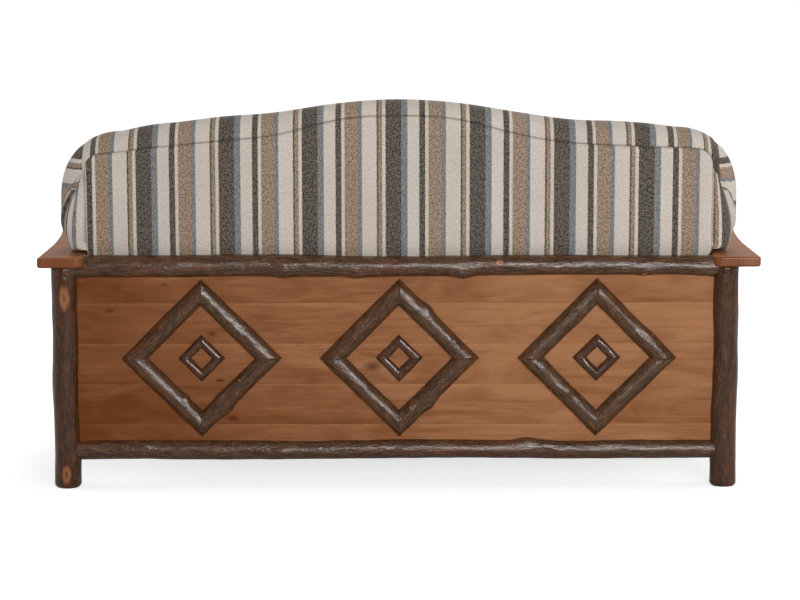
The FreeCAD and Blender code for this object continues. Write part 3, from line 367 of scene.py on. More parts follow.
def pressed_felt():
    """Grey needled felt of the deck."""
    g = Graph("deck_felt")
    place = g.place()
    fibre = g.noise(place, (260, 90, 260), 4.0, 0.7, 1.2)
    clumps = g.noise(place, 38.0, 3.0, 0.6)
    colour = g.ramp(fibre, [(0.3, rgb(92, 88, 84)), (0.7, rgb(140, 134, 127))])
    colour = g.mix(g.ramp(clumps, [(0.4, 0.35), (0.65, 0.0)]), colour, rgb(82, 78, 75))
    return g.finish(colour, g.ramp(clumps, [(0.3, 0.9), (0.7, 0.98)]), fibre, 0.4, 0.001)


def zinc_steel():
    """Zinc-plated bolts with fine scratches."""
    g = Graph("bolt_steel")
    place = g.place()
    haze = g.noise(place, 240.0, 3.0)
    scratch = g.noise(place, (1500, 90, 1500), 2.0)
    colour = g.ramp(haze, [(0.3, rgb(150, 152, 156)), (0.7, rgb(190, 190, 186))])
    return g.finish(colour, g.ramp(scratch, [(0.3, 0.28), (0.7, 0.5)]), scratch, 0.1, 0.0002, metallic=1.0)


PANEL_TONES = (rgb(107, 58, 23), rgb(135, 85, 51), rgb(168, 117, 80))
ARM_TONES = (rgb(98, 47, 17), rgb(125, 70, 34), rgb(150, 92, 54))
# Tone of the rear boards from the left to the right: partly stain, partly painted shade that darkens the left
REAR_STAIN_AND_SHADE = ((-0.9, 0.33), (-0.55, 0.44), (-0.2, 0.54), (0.28, 0.68), (0.9, 0.61))
# Knots that show in the rear boards
REAR_KNOTS = ((-0.529, 0.44, 0.018, 0.009), (-0.508, 0.306, 0.016, 0.008), (-0.473, 0.197, 0.02, 0.011),
              (-0.663, 0.579, 0.02, 0.005), (-0.817, 0.507, 0.016, 0.008), (-0.075, 0.345, 0.034, 0.02))
# Each tint is partly the bark's own colour and partly painted light: lighter on the rails as a painted
# highlight, darker on the posts as painted shade
POST_BARK = bark_material("post_bark", (0.88, 0.77, 0.54))
RAIL_BARK = bark_material("rail_bark", (1.13, 1.2, 1.22))
SIDE_BARK = bark_material("side_bark", (1.13, 1.2, 1.22), coat=0.3)
STRIP_BARK = bark_material("strip_bark", (1.12, 1.2, 1.12))
INNER_BARK = bark_material("inner_strip_bark", (0.9, 0.82, 0.8), 0.35)
CLOTH = striped_cloth()
FRAME_WOOD = plain_wood()
WEBBING = woven_strap()
FELT = pressed_felt()
STEEL = zinc_steel()
REAR_WOOD = board_wood("rear_panel_wood", "X", PANEL_TONES, first=0.064, width=0.116, ends=REAR_STAIN_AND_SHADE,
                       knots=REAR_KNOTS, crown=0.2)
SIDE_WOOD = board_wood("side_panel_wood", "Y", PANEL_TONES, first=0.1675, width=0.1007)
FRONT_WOOD = board_wood("front_panel_wood", "X", PANEL_TONES, first=0.127, width=0.0745)
ARM_WOOD = board_wood("arm_wood", "Y", ARM_TONES, first=0.4, width=0.4, gloss=0.24, shine=0.35, lying=True)


# Mesh making

def add_object(name, data):
    made = bpy.data.objects.new(name, data)
    bpy.context.scene.collection.objects.link(made)
    return made


def smooth_faces(mesh):
    mesh.polygons.foreach_set("use_smooth", np.ones(len(mesh.polygons), bool))


def add_maps(mesh, maps, values):
    """UV maps by name, with a pair for each corner of each face in turn, and numbers for each point."""
    for key, pairs in maps.items():
        layer = mesh.uv_layers.new(name=key)
        layer.data.foreach_set("uv", np.asarray(pairs, np.float32).ravel())
    for key, numbers in values.items():
        attribute = mesh.attributes.new(key, "FLOAT", "POINT")
        attribute.data.foreach_set("value", np.asarray(numbers, np.float32).ravel())


def piece(name, points, faces, maps, values, material):
    """A smooth mesh object with its UV maps and point numbers."""
    mesh = bpy.data.meshes.new(name)
    mesh.from_pydata(np.asarray(points).tolist(), [], [list(map(int, f)) for f in faces])
    add_maps(mesh, maps, values)
    smooth_faces(mesh)
    mesh.validate()
    mesh.update()
    mesh.materials.append(material)
    return add_object(name, mesh)


def grid_faces(rows, columns, wrap=False):
    """Quads of a grid of points, and the grid places of their corners."""
    faces, places = [], []
    for i in range(rows - 1):
        for j in range(columns if wrap else columns - 1):
            corners = ((i, j), (i, j + 1), (i + 1, j + 1), (i + 1, j))
            faces.append([a * columns + b % columns for a, b in corners])
            places.extend(corners)
    return faces, np.array(places)


def closed_tube(name, points, girth, run, knot, material):
    """A tube from rings of points, closed at both ends; girth and run are its grain map."""
    rows, columns = points.shape[:2]
    faces, places = grid_faces(rows, columns, True)
    uv = np.stack([girth[places[:, 1]], run[places[:, 0]]], 1)
    flat = points.reshape(-1, 3)
    ends = np.array([points[0].mean(0), points[-1].mean(0)])
    first, last = len(flat), len(flat) + 1
    cap_uv = []
    for j in range(columns):
        faces.append([first, (j + 1) % columns, j])
        faces.append([last, (rows - 1) * columns + j, (rows - 1) * columns + (j + 1) % columns])
        cap_uv += [(girth[j], run[0])] * 3 + [(girth[j], run[-1])] * 3
    return piece(name, np.concatenate([flat, ends]), faces, {"grain": np.concatenate([uv, cap_uv])},
                 {"knot": np.concatenate([knot.ravel(), [0, 0]])}, material)


def dress(made, node, body=BODY):
    """Hand a finished piece to the frame in place of its CAD node."""
    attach(made, body)
    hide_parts(node)


# Bark-covered logs

# Knots wider than this have a long cut face
LONG_KNOT = 0.022


def knot_swell(run, arc, knots, girth):
    """Height and cut-face share of branch stubs on a grid of places along and round a log.

    A knot is (place along, place round, width, height, cut share). A cut one is hollow in the middle.
    """
    height, face = np.zeros_like(run * arc), np.zeros_like(run * arc)
    for along, around, wide, rise, cut in knots:
        side = np.abs(arc - around)
        side = np.minimum(side, girth - side) if girth else side
        away = np.sqrt(((run - along) / (1.7 * wide)) ** 2 + (side / wide) ** 2)
        height += rise * (np.exp(-away ** 2) - 0.55 * np.exp(-(away / 0.42) ** 2) * (cut > 0))
        drawn_out = 2.5 if wide > LONG_KNOT else 1.3
        cut_away = np.sqrt(((run - along) / drawn_out) ** 2 + side ** 2) / (0.84 * wide)
        face = np.maximum(face, cut * np.exp(-(cut_away / 0.62) ** 2))
    return height, face


# Width, length and height of the bark's ridges, and length and height of its slow swellings
RIDGE_WIDE, RIDGE_LONG, RIDGE_HIGH = 0.011, 0.045, 0.0009
SWELLING_LONG, SWELLING_HIGH = 0.16, 0.0012


def bark_relief(arc, run, seed, radius):
    """Lengthwise ridges and slow swellings of bark."""
    cells = max(8, int(round(2 * math.pi * radius / RIDGE_WIDE)))
    around = arc / (2 * math.pi * radius) * cells
    ridges = lattice(around, run / RIDGE_LONG, seed + 3, cells)
    swell = lattice(around / cells * 4, run / SWELLING_LONG, seed + 9, 4)
    return RIDGE_HIGH * ridges + SWELLING_HIGH * swell


def log(name, axis, start, length, dia, taper, phase, rings, knots=(), ends=(0.0, 0.0)):
    """A log that follows the swelling and wandering stem of its CAD node.

    taper is the share of the thickness lost along it, and rings the number of rings of the CAD stem.
    ends is the radius of the post that each end is coped round, or 0 for a free end.
    """
    share = np.linspace(0, 1, int(length / LOG_STEP))
    k = np.arange(rings)
    stem = k / (rings - 1)
    swell = 1 + taper * (0.5 - stem) + LOG_SWELL * np.sin(2.4 * k + phase)
    free = LOG_LEAN * np.sin(np.pi * stem)
    radius = dia / 2 * smooth_curve(swell, share)[:, None]
    lean_x = smooth_curve(free * np.sin(1.7 * k + phase), share)[:, None]
    lean_y = smooth_curve(free * np.cos(2.3 * k + phase), share)[:, None]
    angle = np.linspace(0, 2 * np.pi, LOG_COLUMNS, endpoint=False)[None, :]
    run = length * share[:, None]
    arc = dia / 2 * angle
    placed = [(length * s, dia / 2 * math.radians(a % 360), w, h, c) for s, a, w, h, c in knots]
    bumps, face = knot_swell(run, arc, placed, math.pi * dia)
    reach = radius + bumps + bark_relief(arc, run, phase * 10, dia / 2)
    if not ends[0]:
        reach = reach - END_DEPTH * np.clip(1 - run / END_REACH, 0, 1) ** 2
    local_x, local_y = lean_x + reach * np.cos(angle), lean_y + reach * np.sin(angle)
    level = local_y if axis == "X" else local_x
    first, last = (np.sqrt(np.maximum(post ** 2 - level ** 2, 0)) - COPE_OVERLAP * (post > 0)
                   for post in ends)
    along = np.clip(run, first, length - last)
    if axis == "X":
        points = np.stack([along, local_y, -local_x], -1)
    elif axis == "Y":
        points = np.stack([local_x, along, -local_y], -1)
    else:
        points = np.stack([local_x, local_y, along], -1)
    points = points + np.array(start)
    girth = np.append(arc[0], math.pi * dia)
    made = closed_tube("bark_" + name, points, girth, run[:, 0] + phase, face,
                       {"X": RAIL_BARK, "Y": SIDE_BARK, "Z": POST_BARK}[axis])
    dress(made, name)


def build_logs():
    """Four posts and eight rails, with the branch stubs that show."""
    posts = {
        ("rear", "left"): (0.3, [(0.866, 274, 0.033, 0.004, 0.94), (0.064, 269, 0.024, 0.004, 1.0)]),
        ("rear", "right"): (2.1, [(0.17, 262, 0.016, 0.002, 0.0), (0.055, 292, 0.016, 0.001, 0.35),
                                  (0.945, 272, 0.02, 0.0015, 0.3)]),
        ("front", "left"): (4.0, [(0.35, 60, 0.02, 0.006, 0.9)]),
        ("front", "right"): (5.2, [(0.7, 120, 0.018, 0.006, 0.9)]),
    }
    for (end, side), (phase, knots) in posts.items():
        log(f"{end}_post_{side}", "Z", (POST_X[side], POST_Y[end], 0), SHOULDER, 2 * POST_RADIUS,
            taper=0.03, phase=phase, rings=7, knots=knots)
    span, depth = POST_X["right"] - POST_X["left"], POST_Y["front"] - POST_Y["rear"]
    both = (POST_RADIUS, POST_RADIUS)
    # Each rail's side, height, thickness, taper, phase and knots
    rails = {
        "rear_top_rail": ("rear", SHOULDER, 0.060, 0.17, 1.0,
                          [(0.332, -40, 0.016, 0.008, 0.0), (0.441, -36, 0.014, 0.006, 0.0),
                           (0.602, -38, 0.017, 0.009, 0.0), (0.657, -112, 0.018, 0.004, 1.0),
                           (0.876, -42, 0.015, 0.005, 0.9), (0.336, -95, 0.013, 0.003, 0.6),
                           (0.507, -94, 0.014, 0.003, 0.45), (0.16, -55, 0.012, 0.004, 0.0),
                           (0.74, -70, 0.012, 0.003, 0.0), (0.972, -32, 0.024, 0.005, 0.0)]),
        "rear_bottom_rail": ("rear", 0.106, 0.056, 0.10, 3.4,
                             [(0.70, -160, 0.019, 0.010, 0.0), (0.73, -140, 0.014, 0.006, 0.0),
                              (0.329, -85, 0.013, 0.003, 0.0), (0.513, -80, 0.012, 0.003, 0.55),
                              (0.12, -120, 0.012, 0.003, 0.0)]),
        "front_seat_rail": ("front", 0.295, 0.062, -0.08, 5.0,
                            [(0.28, 70, 0.017, 0.007, 0.9), (0.66, 110, 0.015, 0.006, 0.8)]),
        "front_bottom_rail": ("front", 0.111, 0.056, 0.08, 0.7, [(0.55, 80, 0.016, 0.006, 0.9)]),
    }
    for name, (end, height, dia, taper, phase, knots) in rails.items():
        log(name, "X", (POST_X["left"], POST_Y[end], height), span, dia, taper, phase, 9, knots, both)
    for side, outward, phase in (("left", 180, 1.9), ("right", 0, 4.4)):
        for level, step in (("top", 0.0), ("bottom", 1.3)):
            log(f"side_{level}_rail_{side}", "Y", (POST_X[side], POST_Y["rear"], SIDE_RAIL_Z[level]), depth,
                SIDE_RAIL_DIA, taper=0.06, phase=phase + step, rings=6,
                knots=[(0.4, outward, 0.013, 0.005, 0.8)], ends=both)


# Half-round diamonds on the panels

def strip_grid(half, wide, seed, knots):
    """One mitred half-round strip: places along it, out of it and off the panel, with its grain map.

    A knot is (place along from the first tip, place in from the outer edge, width, height, cut share).
    """
    length = half * math.sqrt(2)
    angle = np.linspace(0, np.pi, STRIP_COLUMNS)[None, :]
    share = np.linspace(0, 1, int(length / STRIP_STEP))[:, None]
    run = length * share
    arc = wide / 2 * angle
    placed = [(along, wide / 2 * math.acos(np.clip(1 - 2 * inset / wide, -1, 1)), w, h, c)
              for along, inset, w, h, c in knots]
    bumps, face = knot_swell(run, arc, placed, 0)
    swell = 1 + 0.035 * lattice(run / 0.11, run * 0 + 0.5, seed)
    reach = wide / 2 * swell + bumps + bark_relief(arc, run, seed, wide / 2) * 0.9
    inset = wide / 2 - reach * np.cos(angle)
    lift = reach * np.sin(angle)
    along = inset + (length - 2 * inset) * share
    return along, inset, lift, arc[0], run[:, 0], face


def diamond(name, size, centre, facing, seed, knots=None, material=STRIP_BARK):
    """Four mitred strips as one piece in place of a CAD group; knots are listed for each strip."""
    half, wide = size
    facing = Vector(facing)
    level = Vector((0, 0, 1)).cross(facing)
    all_points, all_faces, all_uv, all_cut = [], [], [], []
    count = 0
    for k in range(4):
        turn = math.radians(45 + 90 * k)
        outward = level * math.cos(turn) + Vector((0, 0, 1)) * math.sin(turn)
        direction = outward.cross(facing)
        along, inset, lift, girth, run, cut = strip_grid(half, wide, seed + 3.7 * k, (knots or {}).get(k, ()))
        corner = np.array(centre) + np.array(outward - direction) * half * math.sqrt(0.5)
        points = (corner + along[..., None] * np.array(direction) - inset[..., None] * np.array(outward)
                  + (lift[..., None] - STRIP_SINK) * np.array(facing))
        rows, columns = along.shape
        faces, places = grid_faces(rows, columns)
        uv = np.stack([girth[places[:, 1]], run[places[:, 0]] + 0.9 * k + seed], 1).tolist()
        for i in range(rows - 1):
            faces.append([i * columns, (i + 1) * columns, (i + 2) * columns - 1, (i + 1) * columns - 1])
            uv += [(0, run[i]), (0, run[i + 1]), (wide, run[i + 1]), (wide, run[i])]
        ends = [list(range(columns)), list(range(rows * columns - 1, (rows - 1) * columns - 1, -1))]
        for end in ends:
            faces.append(end)
            uv += [(girth[i % columns], run[0]) for i in end]
        all_points.append(points.reshape(-1, 3))
        all_faces += [[i + count for i in f] for f in faces]
        all_uv += uv
        all_cut.append(cut.ravel())
        count += rows * columns
    made = piece("bark_" + name, np.concatenate(all_points), all_faces, {"grain": all_uv},
                 {"knot": np.concatenate(all_cut)}, material)
    dress(made, name)


def build_diamonds():
    """Three diamonds on the rear panel and one on each side panel, with their inner ones."""
    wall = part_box("rear_panel_board_3")[0].y
    knots = {
        "left": {3: [(0.115, 0.041, 0.010, 0.003, 1.0), (0.213, 0.0, 0.013, 0.006, 0.0),
                     (0.224, 0.05, 0.014, 0.006, 0.0)],
                 2: [(0.089, 0.05, 0.013, 0.007, 0.0)], 1: [(0.09, 0.03, 0.009, 0.003, 0.0)]},
        "centre": {0: [(0.118, 0.002, 0.015, 0.009, 0.0)], 3: [(0.193, 0.004, 0.012, 0.009, 0.0),
                                                               (0.26, 0.038, 0.010, 0.004, 1.0)],
                   1: [(0.095, 0.03, 0.008, 0.003, 0.7)]},
        "right": {0: [(0.225, 0.004, 0.015, 0.005, 0.7)], 2: [(0.15, 0.04, 0.012, 0.005, 0.0)]},
    }
    for k, name in enumerate(THIRDS):
        low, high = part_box("rear_diamond_" + name)
        centre = ((low.x + high.x) / 2, wall, (low.z + high.z) / 2)
        diamond("rear_diamond_" + name, REAR_DIAMOND, centre, (0, -1, 0), k, knots[name])
        diamond("rear_inner_diamond_" + name, REAR_INNER, centre, (0, -1, 0), k + 11, material=INNER_BARK)
    middle_y, middle_z = sum(POST_Y.values()) / 2, sum(SIDE_RAIL_Z.values()) / 2
    for side, out in (("left", -1), ("right", 1)):
        low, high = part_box("side_panel_" + side)
        centre = (low.x if out < 0 else high.x, middle_y, middle_z)
        diamond("side_diamond_" + side, SIDE_DIAMOND, centre, (out, 0, 0), out + 23,
                {1: [(0.12, 0.004, 0.012, 0.006, 0.0)], 3: [(0.09, 0.03, 0.009, 0.003, 0.9)]})
        diamond("side_inner_diamond_" + side, SIDE_INNER, centre, (out, 0, 0), out + 31, material=INNER_BARK)


# Upholstered back

# The rear face, the front's foot and the front's lean, in depth
REAR_FACE, FRONT_FOOT, LEAN = -0.3857, -0.1587, math.tan(math.radians(7))
# Heights of the foot and of the wings' foot; half widths below the wings, at the seam and at the wings
FOOT, WING_LOW = 0.349, 0.675
LOWER_HALF, SEAM_HALF, WING_HALF = 0.876, 0.886, 0.966
# Radii of the upper corners at the seam and at the wings
SEAM_CORNER, WING_CORNER = 0.045, 0.18
# How far each wing is tucked in at its foot, up to what height above it, and how far its foot drops
WING_TUCK, TUCK_HIGH, WING_DROP = 0.021, 0.106, 0.010
# The folded flap of each corner: heights from the pleat up, with the place of the cloth's repeat there
FLAP_LEFT = ((0.725, -1.0975), (0.848, -1.0596), (0.861, -1.049), (0.901, -1.0076), (0.930, -0.982),
             (0.986, -0.9385))
FLAP_RIGHT = ((0.704, 1.1429), (0.769, 1.1335), (0.807, 1.1173), (0.866, 1.0759), (0.871, 1.0653),
              (0.904, 1.0274), (0.932, 1.0015), (0.974, 0.968))
# Place of the cloth at the flap's hem, how fast it runs up from there, and where the fold starts sideways
HEM = (-1.1237, 1.1429)
HEM_RATE = 0.65
FOLD_X = (0.893, 0.905)
# Width over which the cloth passes into the flap, and the height above which the fold is tucked
FOLD_BLEND, FOLD_LOW = 0.04, 0.89
# Creases that fan out above each pleat: columns from it, and depth
CREASES = ((5, 0.004), (11, 0.0035), (17, 0.0025))
# Where the left wing's cloth turns back, measured from the seam
LEFT_TURN = 0.034
# Width of the painted shade along a seam, and the rounding of a wing's lower edge
SEAM_SHADE, WING_ROUND = 0.0025, 0.012
# Height of each section's pleat at the seam, and how it falls with the depth
PLEAT_START, PLEAT_FALL = 0.93, 0.30
# The outside back's foot, its rounded right corner and its left edge's inset
PANEL_FOOT, LOW_CORNER, LEFT_INSET = 0.648, 0.03, 0.008
# Places in depth of the outside back's edge and backing, and of the inside back's backing
PANEL_EDGE, PANEL_BACKING, PAD_BACKING = REAR_FACE + 0.002, REAR_FACE + 0.0035, REAR_FACE + 0.004
# Half length and height of the level line that each face of the back closes on
INSIDE_SPINE, BACKING_SPINE, OUTSIDE_SPINE = (0.62, 0.72), (0.62, 0.80), (0.70, 0.80)


def camel(x, top, hump, width, power, fall, start):
    """A camel-back line: a hump in the middle, falling away to the shoulders."""
    away = np.abs(x)
    soft = 0.04
    beyond = soft * np.log1p(np.exp((away - start) / soft))
    uneven = np.sign(x) * (0.006 * smoothstep(0.66, 0.84, away)
                           - 0.004 * np.exp(-((away - 0.5) / 0.13) ** 2))
    return top - hump * (1 - np.exp(-(away / width) ** power)) - fall * beyond + uneven


def seam_line(x):
    return camel(x, top=1.053, hump=0.068, width=0.30, power=3.0, fall=0.075, start=0.42)


def crest_line(x):
    line = camel(x, top=1.096, hump=0.040, width=0.27, power=2.2, fall=0.075, start=0.30)
    return line - 0.011 * smoothstep(0.68, 0.84, np.abs(x))


# Sections of the boxing from the rear seam to the front seam:
# share of the depth, share of the rise at the top, share of the swing at the sides
SECTIONS = [(0.005, 0.0, 0.0), (-0.01, 0.1, 0.07), (0.01, 0.3, 0.2), (0.06, 0.53, 0.36), (0.14, 0.74, 0.55),
            (0.26, 0.9, 0.76), (0.4, 0.985, 0.92), (0.54, 1.0, 1.0), (0.68, 0.96, 1.0), (0.81, 0.83, 0.93),
            (0.91, 0.63, 0.83), (0.975, 0.4, 0.73), (1.0, 0.18, 0.64), (0.99, 0.0, 0.58)]
# Rows of the boxing, rings that close the inside and the outside, and columns of each stretch of a section
STATIONS, INSIDE_RINGS, OUTSIDE_RINGS = 40, 24, 26
LOWER_COLUMNS, UNDER_COLUMNS, ROUND_COLUMNS, SIDE_COLUMNS = 8, 6, 5, 20
FAN_COLUMNS, CORNER_COLUMNS, TOP_COLUMNS = 10, 16, 141
PLEAT = LOWER_COLUMNS + UNDER_COLUMNS + ROUND_COLUMNS + SIDE_COLUMNS - 2
TOP_START = PLEAT + FAN_COLUMNS + CORNER_COLUMNS - 2


def wing_reach(swing, z):
    """Half width of one section at a height: squarer in plan and tucked in near the wing's foot."""
    square = np.clip(swing, 0, 1) ** (1 - 0.55 * smoothstep(0.86, 0.70, z))
    tuck = WING_TUCK * np.clip((WING_LOW + TUCK_HIGH - z) / TUCK_HIGH, 0, 1) ** 1.6
    return SEAM_HALF + (WING_HALF - SEAM_HALF - tuck) * square


def section_line(depth, rise, swing):
    """Left half of one section's outline, from the foot up over the corner, and its flat top."""
    half = SEAM_HALF + (WING_HALF - SEAM_HALF) * swing
    radius = SEAM_CORNER + (WING_CORNER - SEAM_CORNER) * np.clip((rise + swing) / 2, 0, 1)

    def top(x):
        return seam_line(x) + (crest_line(x) - seam_line(x)) * rise

    corner_z = top(-(half - radius)) - radius
    pleat = PLEAT_START - PLEAT_FALL * math.sqrt(max(depth, 0))
    pleat = np.clip(pleat, WING_LOW + 0.03, corner_z - 0.006)
    inset = 0.03 * np.clip((depth - 0.75) / 0.25, 0, 1) ** 2
    lower = LOWER_HALF - inset
    tucked = wing_reach(swing, WING_LOW)
    foot = WING_LOW - WING_DROP * smoothstep(0.0, 0.35, depth)
    points = [(-lower, z) for z in np.linspace(FOOT, foot - 0.006, LOWER_COLUMNS)]
    points += [(-lower - (tucked - WING_ROUND - lower) * t, foot - 0.002 * (1 - t))
               for t in np.linspace(0.15, 1, UNDER_COLUMNS)]
    points += [(-tucked + WING_ROUND * (1 - math.sin(t)), foot + WING_ROUND * (1 - math.cos(t)))
               for t in np.linspace(0.3, math.pi / 2, ROUND_COLUMNS)]
    points += [(-wing_reach(swing, z), z) for z in np.linspace(foot + WING_ROUND, pleat, SIDE_COLUMNS)[1:]]
    points += [(-wing_reach(swing, z), z) for z in np.linspace(pleat, corner_z, FAN_COLUMNS)[1:]]
    points += [(-half + radius - radius * math.cos(t), corner_z + radius * math.sin(t))
               for t in np.linspace(0, math.pi / 2, CORNER_COLUMNS)[1:]]
    return np.array(points), half - radius, top


def full_section(depth, rise, swing):
    """A whole section from the left foot over the top to the right foot."""
    left, reach, top = section_line(depth, rise, swing)
    xs = np.linspace(-reach, reach, TOP_COLUMNS)[1:-1]
    middle = np.stack([xs, top(xs)], 1)
    right = left[::-1] * np.array([-1, 1])
    right[:, 1] += (top(reach) - top(-reach)) * smoothstep(0.7, 1.0, right[:, 1])
    return np.concatenate([left, middle, right])


def front_plane(z):
    return FRONT_FOOT - LEAN * (z - FOOT)


def stripe_place(x):
    """Sideways place in the cloth's repeat, which runs a little wider to the right."""
    return x - STRIPE_SPREAD * x ** 2


def back_grid():
    """Points of the boxing: one row for each station from the rear seam to the front seam."""
    at = np.linspace(0, 1, STATIONS)
    depth, rise, swing = (smooth_curve([s[k] for s in SECTIONS], at) for k in range(3))
    rows = []
    for d, r, s in zip(depth, rise, swing):
        line = full_section(d, r, s)
        y = REAR_FACE + (front_plane(line[:, 1]) - REAR_FACE) * d
        rows.append(np.stack([line[:, 0], y, line[:, 1]], 1))
    return np.array(rows)


def pleat_columns(columns):
    """Columns of the left and right pleats, where the boxing is folded at the corners."""
    return PLEAT, columns - 1 - PLEAT


def soften_back(grid):
    """Folds at the corners, puckers along the seams and slow unevenness of the padding."""
    rows, columns = grid.shape[:2]
    left, right = pleat_columns(columns)
    number = np.arange(columns)[None, :]
    share = np.linspace(0, 1, rows)[:, None]
    push = np.zeros((rows, columns))
    for fold, sign in ((left, 1), (right, -1)):
        above = (number - fold) * sign
        step = np.where(above >= 1, 0.004 * np.exp(-(above - 1) / 3.0), -0.009 * np.exp(above / 2.6))
        push += step * smoothstep(0.0, 0.08, share)
        for fan, depth in CREASES:
            crease = np.exp(-((above - fan) / 1.5) ** 2) * smoothstep(0.02, 0.12, share)
            push -= depth * crease * (1 - smoothstep(0.3, 0.6, share))
    for side, start in ((-1, FOLD_X[0]), (1, FOLD_X[1])):
        beyond = grid[..., 0] * side - start
        tucked = np.exp(-(np.maximum(beyond, 0) / 0.006) ** 2) * smoothstep(-0.004, 0.0, beyond)
        push -= 0.005 * tucked * (grid[..., 2] > FOLD_LOW) * smoothstep(0.0, 0.06, share)
    girth = np.cumsum(np.linalg.norm(np.diff(grid[rows // 2], axis=0), axis=1), 0)
    girth = np.concatenate([[0], girth])[None, :]
    near = np.exp(-((share - 0.07) / 0.05) ** 2) + np.exp(-((share - 0.94) / 0.05) ** 2)
    push += 0.0012 * near * lattice(girth / 0.03 + share, share * 0, 3.0)
    push += 0.0022 * lattice(girth / 0.14, share * 3, 5.0)
    normal = np.cross(np.gradient(grid, axis=1), np.gradient(grid, axis=0))
    normal /= np.maximum(np.linalg.norm(normal, axis=2, keepdims=True), 1e-9)
    ends = smoothstep(0.0, 0.06, share) * (1 - smoothstep(0.94, 1.0, share))
    upper = smoothstep(WING_LOW - 0.005, WING_LOW + 0.05, grid[..., 2])
    return grid + normal * (push * (0.35 + 0.65 * ends) * upper)[..., None]


def cap(loop, spine, shares):
    """Rings at the given shares of the way from a closed loop in to a level line."""
    spine_half, spine_z = spine
    target = loop.copy()
    target[:, 0] = np.clip(loop[:, 0] / np.abs(loop[:, 0]).max(), -1, 1) * spine_half
    target[:, 2] = spine_z
    return [loop + (target - loop) * s for s in shares]


# Points nearer together than the first are joined, and edges shorter than the second dropped
WELD_DISTANCE, THIN_EDGE = 0.0004, 0.00005


def weld(made):
    """Join points that fall together, drop empty faces and turn all faces outwards."""
    work = bmesh.new()
    work.from_mesh(made.data)
    bmesh.ops.remove_doubles(work, verts=work.verts, dist=WELD_DISTANCE)
    bmesh.ops.dissolve_degenerate(work, edges=work.edges, dist=THIN_EDGE)
    bmesh.ops.recalc_face_normals(work, faces=work.faces)
    work.to_mesh(made.data)
    work.free()
    smooth_faces(made.data)


def boxing_cloth(grid, rings, girth, places):
    """Cloth places of the boxing's face corners: the plain ones, and those of the folded flaps."""
    columns = grid.shape[1]
    left, right = pleat_columns(columns)
    left_top, right_top = TOP_START, columns - 1 - TOP_START
    uv, flap_uv = [], []
    for corners in places.reshape(-1, 4, 2):
        first, last = corners[:, 1].min(), corners[:, 1].max()
        for i, j in corners:
            x, y, z = rings[i, j % rings.shape[1]]
            if last >= columns:
                place = (stripe_place(x), y)
            elif left <= first and last <= right:
                place = (band_place(x), girth[i, j])
            elif last <= left:
                place = (stripe_place(-SEAM_HALF) - LEFT_TURN + abs(girth[i, j] - LEFT_TURN), z)
            else:
                place = (stripe_place(SEAM_HALF) + girth[i, j], z)
            uv.append(place)
            if left <= first and last <= left_top:
                place = (flap_place(grid[i, j], grid[i, left, 2], 0), girth[i, j])
            elif right_top <= first and last <= right:
                place = (flap_place(grid[i, j], grid[i, right, 2], 1), girth[i, j])
            flap_uv.append(place)
    return uv, flap_uv


def fold_share(grid, around):
    """From 0 to 1 across the start of each folded flap, for all the points of the rings."""
    columns = grid.shape[1]
    left, right = pleat_columns(columns)
    fold = np.zeros((len(grid), around))
    flaps = (slice(left, TOP_START + 1), slice(columns - 1 - TOP_START, right + 1))
    for flap, start in zip(flaps, FOLD_X):
        fold[:, flap] = np.clip(0.5 + (np.abs(grid[:, flap, 0]) - start) / FOLD_BLEND, 0, 1)
    return fold


def back_upholstery():
    """The inside back with its boxing, as one closed padded form."""
    grid = soften_back(back_grid())
    rows, columns = grid.shape[:2]
    bottom = np.linspace(1, 0, TOP_COLUMNS)[None, 1:-1, None]
    foot = grid[:, :1] + (grid[:, -1:] - grid[:, :1]) * bottom
    rings = np.concatenate([grid, foot], 1)
    around = rings.shape[1]
    faces, places = grid_faces(rows, around, True)
    girth = np.concatenate([np.zeros((1, columns)),
                            np.cumsum(np.linalg.norm(np.diff(grid, axis=0), axis=2), 0)])
    uv, flap_uv = boxing_cloth(grid, rings, girth, places)
    points, count = [rings.reshape(-1, 3)], rows * around
    shares = (np.arange(1, INSIDE_RINGS + 1) / INSIDE_RINGS) ** 1.7
    for row, spine, steps in ((rows - 1, INSIDE_SPINE, shares), (0, BACKING_SPINE, shares[3::10])):
        loop = before = rings[row]
        known = range(row * around, (row + 1) * around)
        for ring in cap(loop, spine, steps):
            ring[:, 1] = inside_face(ring, loop) if row else PAD_BACKING
            fresh = range(count, count + around)
            for j in range(around):
                n = (j + 1) % around
                faces.append([known[j], known[n], fresh[n], fresh[j]])
                flat = [(stripe_place(p[0]), p[2]) for p in (before[j], before[n], ring[n], ring[j])]
                uv += flat
                flap_uv += flat
            points.append(ring)
            count += around
            before, known = ring, fresh
    painted_seam_shade, fold = np.zeros((2, count))
    shade_here = painted_seam_shade[:rows * around].reshape(rows, around)
    # Painted shade along the rear seam, above the wings' foot
    shade_here[:, :columns] = np.exp(-(girth / SEAM_SHADE) ** 2) * (grid[..., 2] > WING_LOW + WING_ROUND)
    fold[:rows * around] = fold_share(grid, around).ravel()
    made = piece("back_upholstery", np.concatenate(points), faces, {"cloth": uv, "flap": flap_uv},
                 {"seam": painted_seam_shade, "fold": fold}, CLOTH)
    weld(made)
    dress(made, "back_pad")


def flap_place(point, pleat_z, side):
    """Place in the repeat on a folded corner: level stripes above, stripes along the hem below."""
    heights, places = zip(*(FLAP_LEFT if side == 0 else FLAP_RIGHT))
    level = np.interp(point[2], heights, places)
    above = HEM_RATE * max(point[2] - pleat_z, 0) + 0.14 * smoothstep(0.83, 0.90, point[2])
    return min(level, HEM[0] + above) if side == 0 else max(level, HEM[1] - above)


